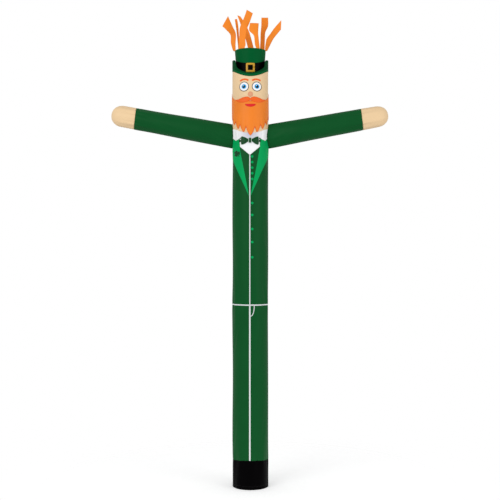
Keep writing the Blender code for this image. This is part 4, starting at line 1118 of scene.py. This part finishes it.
def beard_locks(flat, away):
    """The beard stands off the jaw, but for the grooves between its locks, which fade on their way up."""
    place = flat[:, 0] / beard_half
    above = flat[:, 1] - beard_edge(BEARD_LOW, place)
    lift = BEARD_PUFF * smooth(away / 0.035)
    for lock, (end, _) in enumerate(BEARD_LOCKS[:-1]):
        beside = (np.abs(place) - end * (1 - 0.9 * above)) * beard_half / GROOVE_WIDE
        fade = smooth(1 - above / (GROOVE_LONG * (1.0 - 0.3 * (lock % 2)))) * smooth((above + 0.03) / 0.03)
        lift = lift - GROOVE_DEEP * fade * np.exp(-(beside**2))
    return lift


def on_beard(round_it, height, lift=0.0):
    """Points over the beard's puffed cloth below its upper edge, and over the skin above it."""
    below = beard_edge(BEARD_TOP, round_it / beard_half) - height
    return on_tube(round_it, height, lift + (BEARD_PUFF + SLACK) * smooth(below / 0.035 + 0.2))


orange_nylon = nylon("orange_nylon", HAIR_ORANGE, gloss=0.2)
ends = [0.0] + [end for end, _ in BEARD_LOCKS]
locks = [(-ends[1], 0.0, ends[1], BEARD_LOCKS[0][1])]
for start, (end, drop) in zip(ends[1:], BEARD_LOCKS[1:]):
    tip = start + (end - start) * LOCK_LEAN
    locks = [(-end, -tip, -start, drop), *locks, (start, tip, end, drop)]
ways = np.linspace(0, 1, 9)
falls = np.interp(ways, *np.array(LOCK_CURVE).T)
low = []
for start, tip, end, drop in locks:
    for foot, way, fall in ((start, ways[:-1], falls[:-1]), (end, ways[:0:-1], falls[:0:-1])):
        place = foot + (tip - foot) * way
        low.append(np.stack((beard_half * place, beard_edge(BEARD_LOW, place) - drop * fall), -1))
place = np.linspace(1, -1, 57)
low.append([(beard_half, BEARD_LOW["side"])])
beard_outline = np.concatenate((*low, np.stack((beard_half * place, beard_edge(BEARD_TOP, place)), -1)))
shape = {"relief": beard_locks, "at_arms": True}
sewn_patch("beard", beard_outline, orange_nylon, deep_thread, "hair_orange", 2, **shape)
line = inset(beard_outline, 0.0035, 0.003)
edging("beard_border", line, deep_border, 3 * LAYER, 0.0075, 0.0020)


def moustache_folds(flat, away):
    """Wadded halves, drawn in at the middle, with two long folds in each."""
    x, z = np.abs(flat[:, 0]), flat[:, 1] - MOUSTACHE_MIDDLE
    lift = MOUSTACHE_PUFF * smooth(away / 0.022) * (1 - 0.75 * np.exp(-((x / 0.010) ** 2)))
    for start, slope in ((0.012, -0.14), (-0.008, -0.08)):
        beside = (z - start - slope * x - 1.6 * np.clip(x - 0.05, 0, None) ** 2) / 0.004
        lift = lift - 0.0024 * np.exp(-(beside**2)) * smooth(x / 0.02) * smooth((0.165 - x) / 0.05)
    return lift


def curved(before, start, end, beyond, per):
    """So many points on a smooth curve from each start to its end, by the places before and beyond them."""
    t = np.linspace(0, 1, per, endpoint=False).reshape(-1, *(1,) * start.ndim)
    line = 2 * start + (end - before) * t + (2 * before - 5 * start + 4 * end - beyond) * t**2
    line = (line + (3 * start - before - 3 * end + beyond) * t**3) / 2
    return line.swapaxes(0, 1).reshape(-1, *start.shape[1:])


half = np.array(MOUSTACHE_HALF)
corners = np.concatenate((half, (half * (-1, 1))[-2:0:-1]))
before, after, beyond = (np.roll(corners, shift, axis=0) for shift in (1, -1, -2))
moustache_outline = seen(curved(before, corners, after, beyond, 8), SMALL_STEP)
shape = {"relief": moustache_folds, "grid": SMALL_GRID, "slack": 0.0, "wall": on_beard}
sewn_patch("moustache", moustache_outline, deep_nylon, deep_thread, "deep_orange", 3, **shape)

turn = np.linspace(np.pi, math.tau, 32)
smile = np.stack((SMILE_HALF * np.cos(turn), SMILE_HEIGHT + SMILE_DEPTH * np.sin(turn)), -1)
smile = seen(smile, SMALL_STEP)
shape = {"relief": puffed(0.0022, 0.012), "grid": SMALL_GRID, "slack": 0.0, "wall": on_beard}
sewn_patch("mouth", smile, red_nylon, red_thread, "red_cloth", 3, **shape)

# ---------------------------------------------------------------- hat
# The tube goes on above the head as the hat: a crown in brighter green, drawn in over a shoulder and closed
# by a sunk top. A black satin band and a gold buckle are sewn on it, and an upturned brim outside the tube.

BRIM_TOP = {"side": 5.420, "front": 5.237, "back": 5.430}
# It stays turned up past its sides: cosines of the angle from the front, and the shares of its fall there
BRIM_TOP["falls"] = (
    (0.0, 0.38, 0.55, 0.60, 0.64, 0.73, 0.86, 1.0),
    (0.0, 0.03, 0.07, 0.22, 0.52, 0.67, 0.85, 1.0),
)
BAND_TOP = {"side": 5.424, "front": 5.360, "back": 5.455, "shape": 1.3}
SHOULDER_RISE, SHOULDER_SHAPE = 0.028, 2.6
CROWN_FOOT, CROWN_RIM = (0.1713, 5.250), (0.1935, 5.549)  # radius at a height
CROWN_SINK, CROWN_DOME, CROWN_RUCK = 0.026, 0.012, 0.0016
# Over the rim and down to the sunk top: how far in, and how far up from the rim
CROWN_TURN = ((0.0004, 0.0012), (0.0014, 0.0012), (0.002, -0.004), (0.002, -0.014))
CROWN_TURN += ((0.002, 0.003 - CROWN_SINK),)
CROWN_EASE = 0.0032  # how far it bulges between its creases
CROWN_FLAT = 0.176  # radius that the crown's flat places are measured at
# The brim is dyed a darker green than the crown as painted shade, and its lower strip lighter as painted
# light
HAT_GREEN, BRIM_GREEN, BRIM_PAINTED_LIGHT = (0, 87, 42), (0, 66, 30), (0, 90, 45)
BRIM_STRIP = 0.030  # width of the painted light, a brighter strip along its lower edge
BRIM_OUT, BRIM_WAVE = 0.0024, 0.0008  # how far off the tube's line it stands, and the waves of its upper edge
# The second gold is painted shade for the inner edges of the buckle's bars, round its opening
GOLD, GOLD_PAINTED_SHADE = (208, 156, 40), (140, 104, 28)
BUCKLE_MIDDLE, BUCKLE_HALF, BUCKLE_BAR = 5.306, (0.0552, 0.0570), 0.0265
BUCKLE_PLUMP, BUCKLE_SQUARE = 0.0042, 12  # how far its padding stands up, and how square its corners are
PAINTED_SHADE_WIDTH = 0.006  # width of the painted shade round its opening, darker gold along the bars' inner edges

HAT_CREASES = (
    (-58, 5.545, -40, 5.42, 0.0020, 0.012), (-12, 5.545, -24, 5.44, 0.0014, 0.011),
    (22, 5.545, 34, 5.42, 0.0018, 0.012), (62, 5.545, 48, 5.43, 0.0020, 0.013),
    (-110, 5.545, -130, 5.44, 0.0030, 0.016), (112, 5.545, 126, 5.43, 0.0030, 0.016),
    (170, 5.545, 158, 5.44, 0.0028, 0.016),
)
RIM_TIE = {"draw": 0.0022, "gather": 0.018, "pattern": 44}


def crown_radius(angle, height):
    """Distance of the crown's cloth from the middle line, with its creases and the gathers at its rim."""
    (foot_radius, foot), (rim_radius, rim) = CROWN_FOOT, CROWN_RIM
    reach = foot_radius + CROWN_EASE + (rim_radius - foot_radius) * (height - foot) / (rim - foot)
    away = np.abs(height - rim)
    reach = reach + creased(angle, height, HAT_CREASES, CROWN_FLAT) - RIM_TIE["draw"] * np.exp(-away / 0.02)
    return reach + gathers(angle, away, RIM_TIE["gather"], RIM_TIE["pattern"])


def on_crown(round_it, height, lift=0.0):
    """Points on the crown's cloth, lifted off it by so much."""
    angle = round_it / CROWN_FLAT
    return ring_at(angle, crown_radius(angle, height) + lift, height)


crown_nylon = nylon("crown_nylon", HAT_GREEN, gloss=0.035)
hat_angles, hat_felled = lapped(150, CROWN_FLAT)
foot = edge_of(BRIM_LOW, BEHIND_BRIM + BUTTED)(hat_angles)
rim = CROWN_RIM[1] + 0 * hat_angles
share = np.linspace(0, 1, 12)[:, None]
outside = swell(hat_angles, foot)
drawn_in = outside - crown_radius(hat_angles, foot + SHOULDER_RISE)
rows = [ring_at(hat_angles, outside - drawn_in * share**SHOULDER_SHAPE, foot + SHOULDER_RISE * share)]
height = foot + SHOULDER_RISE + 0.006
height = height + (rim - height) * np.linspace(0, 1, 26)[:, None]
rows.append(ring_at(hat_angles, crown_radius(hat_angles, height) + hat_felled, height))
for inward, rise in CROWN_TURN:
    rows.append(ring_at(hat_angles, crown_radius(hat_angles, rim) - inward, rim + rise)[None])
out = np.linspace(0.985, 0.002, 16)[:, None]
dome = rim - CROWN_SINK + CROWN_DOME * (1 - out**2)
dome = dome + CROWN_RUCK * np.sin(9 * hat_angles + 1.0) * np.exp(-(1 - out) / 0.12) * out
rows.append(ring_at(hat_angles, (crown_radius(hat_angles, rim) - CROWN_TURN[-1][0]) * out, dome))
points = np.concatenate(rows)
steps = np.linalg.norm(np.diff(points, axis=0), axis=-1)
height = np.concatenate((foot[None], foot + np.cumsum(steps, axis=0)))
flat = np.stack((hat_angles * CROWN_FLAT + 0 * height, height), -1)
crown = sheet_of("crown_cloth", points, flat, crown_nylon)
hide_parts("hat_crown")

black_satin = nylon("black_satin", BLACK, roughness=0.36, gloss=0.03, crinkle=0.0003)
above = edge_of(BRIM_LOW, BEHIND_BRIM + BUTTED + SHOULDER_RISE + 0.001)
points, flat = strip_round(above, edge_of(BAND_TOP), 16, on_crown, CROWN_FLAT, LAYER, hat_angles, hat_felled)
band = sheet_of("hat_band_cloth", points, flat, black_satin)
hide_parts("hat_band")

brim_nylon = nylon("brim_nylon", BRIM_GREEN, gloss=0.035)
# Painted light: a lighter strip along the brim's lower edge, above it the brim's darker green as painted
# shade
up = brim_nylon.along()
bright = up.math("LESS_THAN", up, BRIM_STRIP)
brim_nylon.drive("Base Color", brim_nylon.mixed(bright, brim_nylon.dyed(), dye(*BRIM_PAINTED_LIGHT)))
low, top = edge_of(BRIM_LOW), edge_of(BRIM_TOP)
slack = BRIM_WAVE * np.sin(11 * ANGLES) * np.linspace(0, 1, 18)[:, None]
points, flat = strip_round(low, top, 18, on_tube, RADIUS, BRIM_OUT + slack, ANGLES, FELLED)
flat[..., 1] -= low(ANGLES)
brim = sheet_of("hat_brim_cloth", points, flat, brim_nylon)
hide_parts("hat_brim")

gold_satin = nylon("gold_satin", GOLD, roughness=0.3, gloss=0.3, crinkle=0.0003)
# Painted shade: the gold darkens along the bars' inner edges round the opening
across = gold_satin.across().size() - (BUCKLE_HALF[0] - BUCKLE_BAR)
up = (gold_satin.along() - BUCKLE_MIDDLE).size() - (BUCKLE_HALF[1] - BUCKLE_BAR)
past = across.math("MAXIMUM", across, up)
painted_rim_shade = ((PAINTED_SHADE_WIDTH - past) / 0.002).held()
gold_satin.drive("Base Color", gold_satin.mixed(painted_rim_shade, gold_satin.dyed(), dye(*GOLD_PAINTED_SHADE)))
turn = np.linspace(0, math.tau, 129)[:, None]
out = np.linspace(0, 1, 11)
squared = [np.sign(f(turn)) * np.abs(f(turn)) ** (2 / BUCKLE_SQUARE) for f in (np.cos, np.sin)]
x, z = (side * (half - BUCKLE_BAR * out) for side, half in zip(squared, BUCKLE_HALF))
height = BUCKLE_MIDDLE + z
round_it = np.arcsin(x / crown_radius(0.0, height)) * CROWN_FLAT
beside = np.abs(2 * out - 1)  # from the middle of a bar to its edges
plump = BUCKLE_PLUMP * (1 - beside**2.4) * (1 + 0.12 * np.sin(14 * turn) * (1 - beside))
flat = np.stack((round_it, height), -1)
points = on_crown(round_it, height, 2 * LAYER + plump)
buckle = sheet_of("buckle_cloth", points[:, ::-1], flat[:, ::-1], gold_satin)
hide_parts("buckle")
outer, inner = (area_in(np.stack((x[:, edge], z[:, edge]), -1)) for edge in (0, -1))
outer - inner

# ---------------------------------------------------------------- hair
# Seven ribbons of orange nylon, cut down to one narrow heading that is sewn inside the crown's rim, so the
# air blowing out of the hat makes them stand and flick. Each is a little cupped and rippled by the wind.

HEADING_TOP, HEADING_FOOT = 5.546, 5.5236
RIBBON_STAND = 0.008  # the ribbons rise straight for this far
FACETS, FINE = 48, 4  # steps round the heading that the ribbons are cut to, and columns of cloth in each
BEHIND_RIM = 0.0035
RIBBON_ORANGE = (248, 140, 43)
# Cupping as a share of the width, the ripple's size and length, and how far up a ribbon both come in
CUP, RIPPLE, RIPPLE_LONG, FREED_FROM, FREED_OVER = 0.10, 0.0035, 0.21, 0.02, 0.12

# Each ribbon rises from so many steps of the heading, from a first one. `cut` slants its end, in degrees, and
# `course` is its way up: x, y, z, width, and the angle in plan of that width, from +X
RIBBONS = (
    {"first": -14, "steps": 3, "cut": 29, "course": (
        (-0.205, 0, 5.564, 0.054, -50), (-0.218, 0, 5.665, 0.07, -30), (-0.221, 0, 5.767, 0.072, -10),
        (-0.266, -0.005, 5.84, 0.092, 0), (-0.321, -0.01, 5.93, 0.13, 5))},
    {"first": -18, "steps": 1, "cut": -5, "course": (
        (-0.152, 0.128, 5.64, 0.02, -150), (-0.159, 0.124, 5.773, 0.026, -165),
        (-0.173, 0.12, 5.904, 0.032, -172), (-0.186, 0.118, 5.987, 0.029, -175))},
    {"first": -7, "steps": 4, "cut": -12, "course": (
        (-0.104, -0.156, 5.6, 0.098, -26), (-0.102, -0.158, 5.68, 0.084, -20),
        (-0.089, -0.158, 5.797, 0.095, -12), (-0.045, -0.158, 5.907, 0.089, -6),
        (-0.007, -0.156, 6.014, 0.088, -3))},
    {"first": 22, "steps": 3, "cut": 47, "course": (
        (0.004, 0.19, 5.632, 0.072, 180), (-0.029, 0.192, 5.761, 0.073, 180),
        (-0.066, 0.191, 5.863, 0.073, 180), (-0.109, 0.19, 5.964, 0.052, 180),
        (-0.15, 0.186, 6.046, 0.028, 180))},
    {"first": 3, "steps": 2, "cut": 3, "course": (
        (0.085, -0.172, 5.6, 0.06, 22), (0.071, -0.184, 5.71, 0.059, 12), (0.043, -0.19, 5.776, 0.116, 6),
        (0.05, -0.196, 5.86, 0.11, 3))},
    {"first": 15, "steps": 3, "cut": 0, "course": (
        (0.156, 0.122, 5.63, 0.072, 145), (0.162, 0.12, 5.801, 0.06, 162),
        (0.184, 0.116, 5.898, 0.089, 172), (0.186, 0.112, 6.004, 0.086, 176))},
    {"first": 11, "steps": 2, "cut": -51, "course": (
        (0.202, 0, 5.564, 0.052, 50), (0.217, 0, 5.616, 0.062, 32), (0.24, -0.004, 5.684, 0.078, 16),
        (0.282, -0.008, 5.747, 0.07, 8), (0.336, -0.012, 5.817, 0.076, 4),
        (0.392, -0.014, 5.881, 0.075, 0))},
)


def at_heading(column, height):
    angle = math.tau * np.asarray(column) / (FACETS * FINE)
    return ring_at(angle, crown_radius(angle, CROWN_RIM[1]) - BEHIND_RIM, height)


def ribbon_rows(ribbon, columns):
    """The ribbon's cloth above the heading: rows of points from side to side."""
    share = np.linspace(-0.5, 0.5, len(columns))[:, None]
    stand = at_heading(columns, HEADING_TOP + RIBBON_STAND)
    sections = [at_heading(columns, HEADING_TOP), stand]
    spine = np.array([stand.mean(0), *(row[:3] for row in ribbon["course"])])
    for i, (*_, width, plan) in enumerate(ribbon["course"], 1):
        rise = spine[min(i + 1, len(spine) - 1)] - spine[i - 1]
        rise /= np.linalg.norm(rise)
        level = np.array((math.cos(math.radians(plan)), math.sin(math.radians(plan)), 0.0))
        breadth = level - rise * (level @ rise)
        breadth /= np.linalg.norm(breadth)
        if i == len(ribbon["course"]):
            breadth = breadth + rise * math.tan(math.radians(ribbon["cut"]))
        sections.append(spine[i] + breadth * width * share)
    cuts = np.asarray(sections)
    cuts = np.concatenate((2 * cuts[:1] - cuts[1:2], cuts, 2 * cuts[-1:] - cuts[-2:-1]))
    rows = np.concatenate((curved(cuts[:-3], cuts[1:-2], cuts[2:-1], cuts[3:], 7), cuts[-2:-1]))
    along, across = np.gradient(rows, axis=0), np.gradient(rows, axis=1)
    out = np.cross(across, along)
    out /= np.linalg.norm(out, axis=-1, keepdims=True)
    width = np.linalg.norm(rows[:, -1] - rows[:, 0], axis=-1)[:, None]
    run = np.concatenate(([0.0], np.cumsum(np.linalg.norm(np.diff(rows.mean(1), axis=0), axis=-1))))[:, None]
    freed = smooth((run - FREED_FROM) / FREED_OVER)
    bulge = CUP * width * (0.25 - share.T**2) * 2
    ripple = RIPPLE * np.sin(math.tau * run / RIPPLE_LONG + ribbon["first"] + 1.5 * share.T)
    return rows + out * (freed * (bulge + ripple))[..., None], run


ribbon_nylon = nylon("ribbon_nylon", RIBBON_ORANGE, gloss=0.12)
ring_columns = np.arange(FACETS * FINE)
heights = np.linspace(HEADING_FOOT, HEADING_TOP, 3)
heading = np.array([at_heading(ring_columns, z) for z in heights])
index = np.arange(heading[..., 0].size).reshape(len(heights), -1)
faces = [quads_of(index, (0, 1))]
rim_girth = math.tau * CROWN_RIM[0]
column_at = ring_columns * rim_girth / len(ring_columns)
points, flat = [heading.reshape(-1, 3)], [np.stack((column_at, 0 * column_at + z), -1) for z in heights]
top_row, used = index[-1], index.size
for ribbon in RIBBONS:
    columns = ribbon["first"] * FINE + np.arange(ribbon["steps"] * FINE + 1)
    rows, run = ribbon_rows(ribbon, columns)
    index = used + np.arange(rows[1:, :, 0].size).reshape(len(rows) - 1, -1)
    used += index.size
    faces.append(quads_of(np.concatenate((top_row[columns % len(ring_columns)][None], index))))
    points.append(rows[1:].reshape(-1, 3))
    side = np.linspace(-0.5, 0.5, len(columns)) * np.linalg.norm(rows[1:, -1] - rows[1:, 0], axis=-1)[:, None]
    middle = columns.mean() * rim_girth / len(ring_columns)
    flat.append(np.stack((middle + side, HEADING_TOP + run[1:] + 0 * side), -1).reshape(-1, 2))
points, faces, flat = (np.concatenate(parts) for parts in (points, faces, flat))
hair = piece_of("hair_ribbons", points, faces, flat, ribbon_nylon)
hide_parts("hair_fringe")
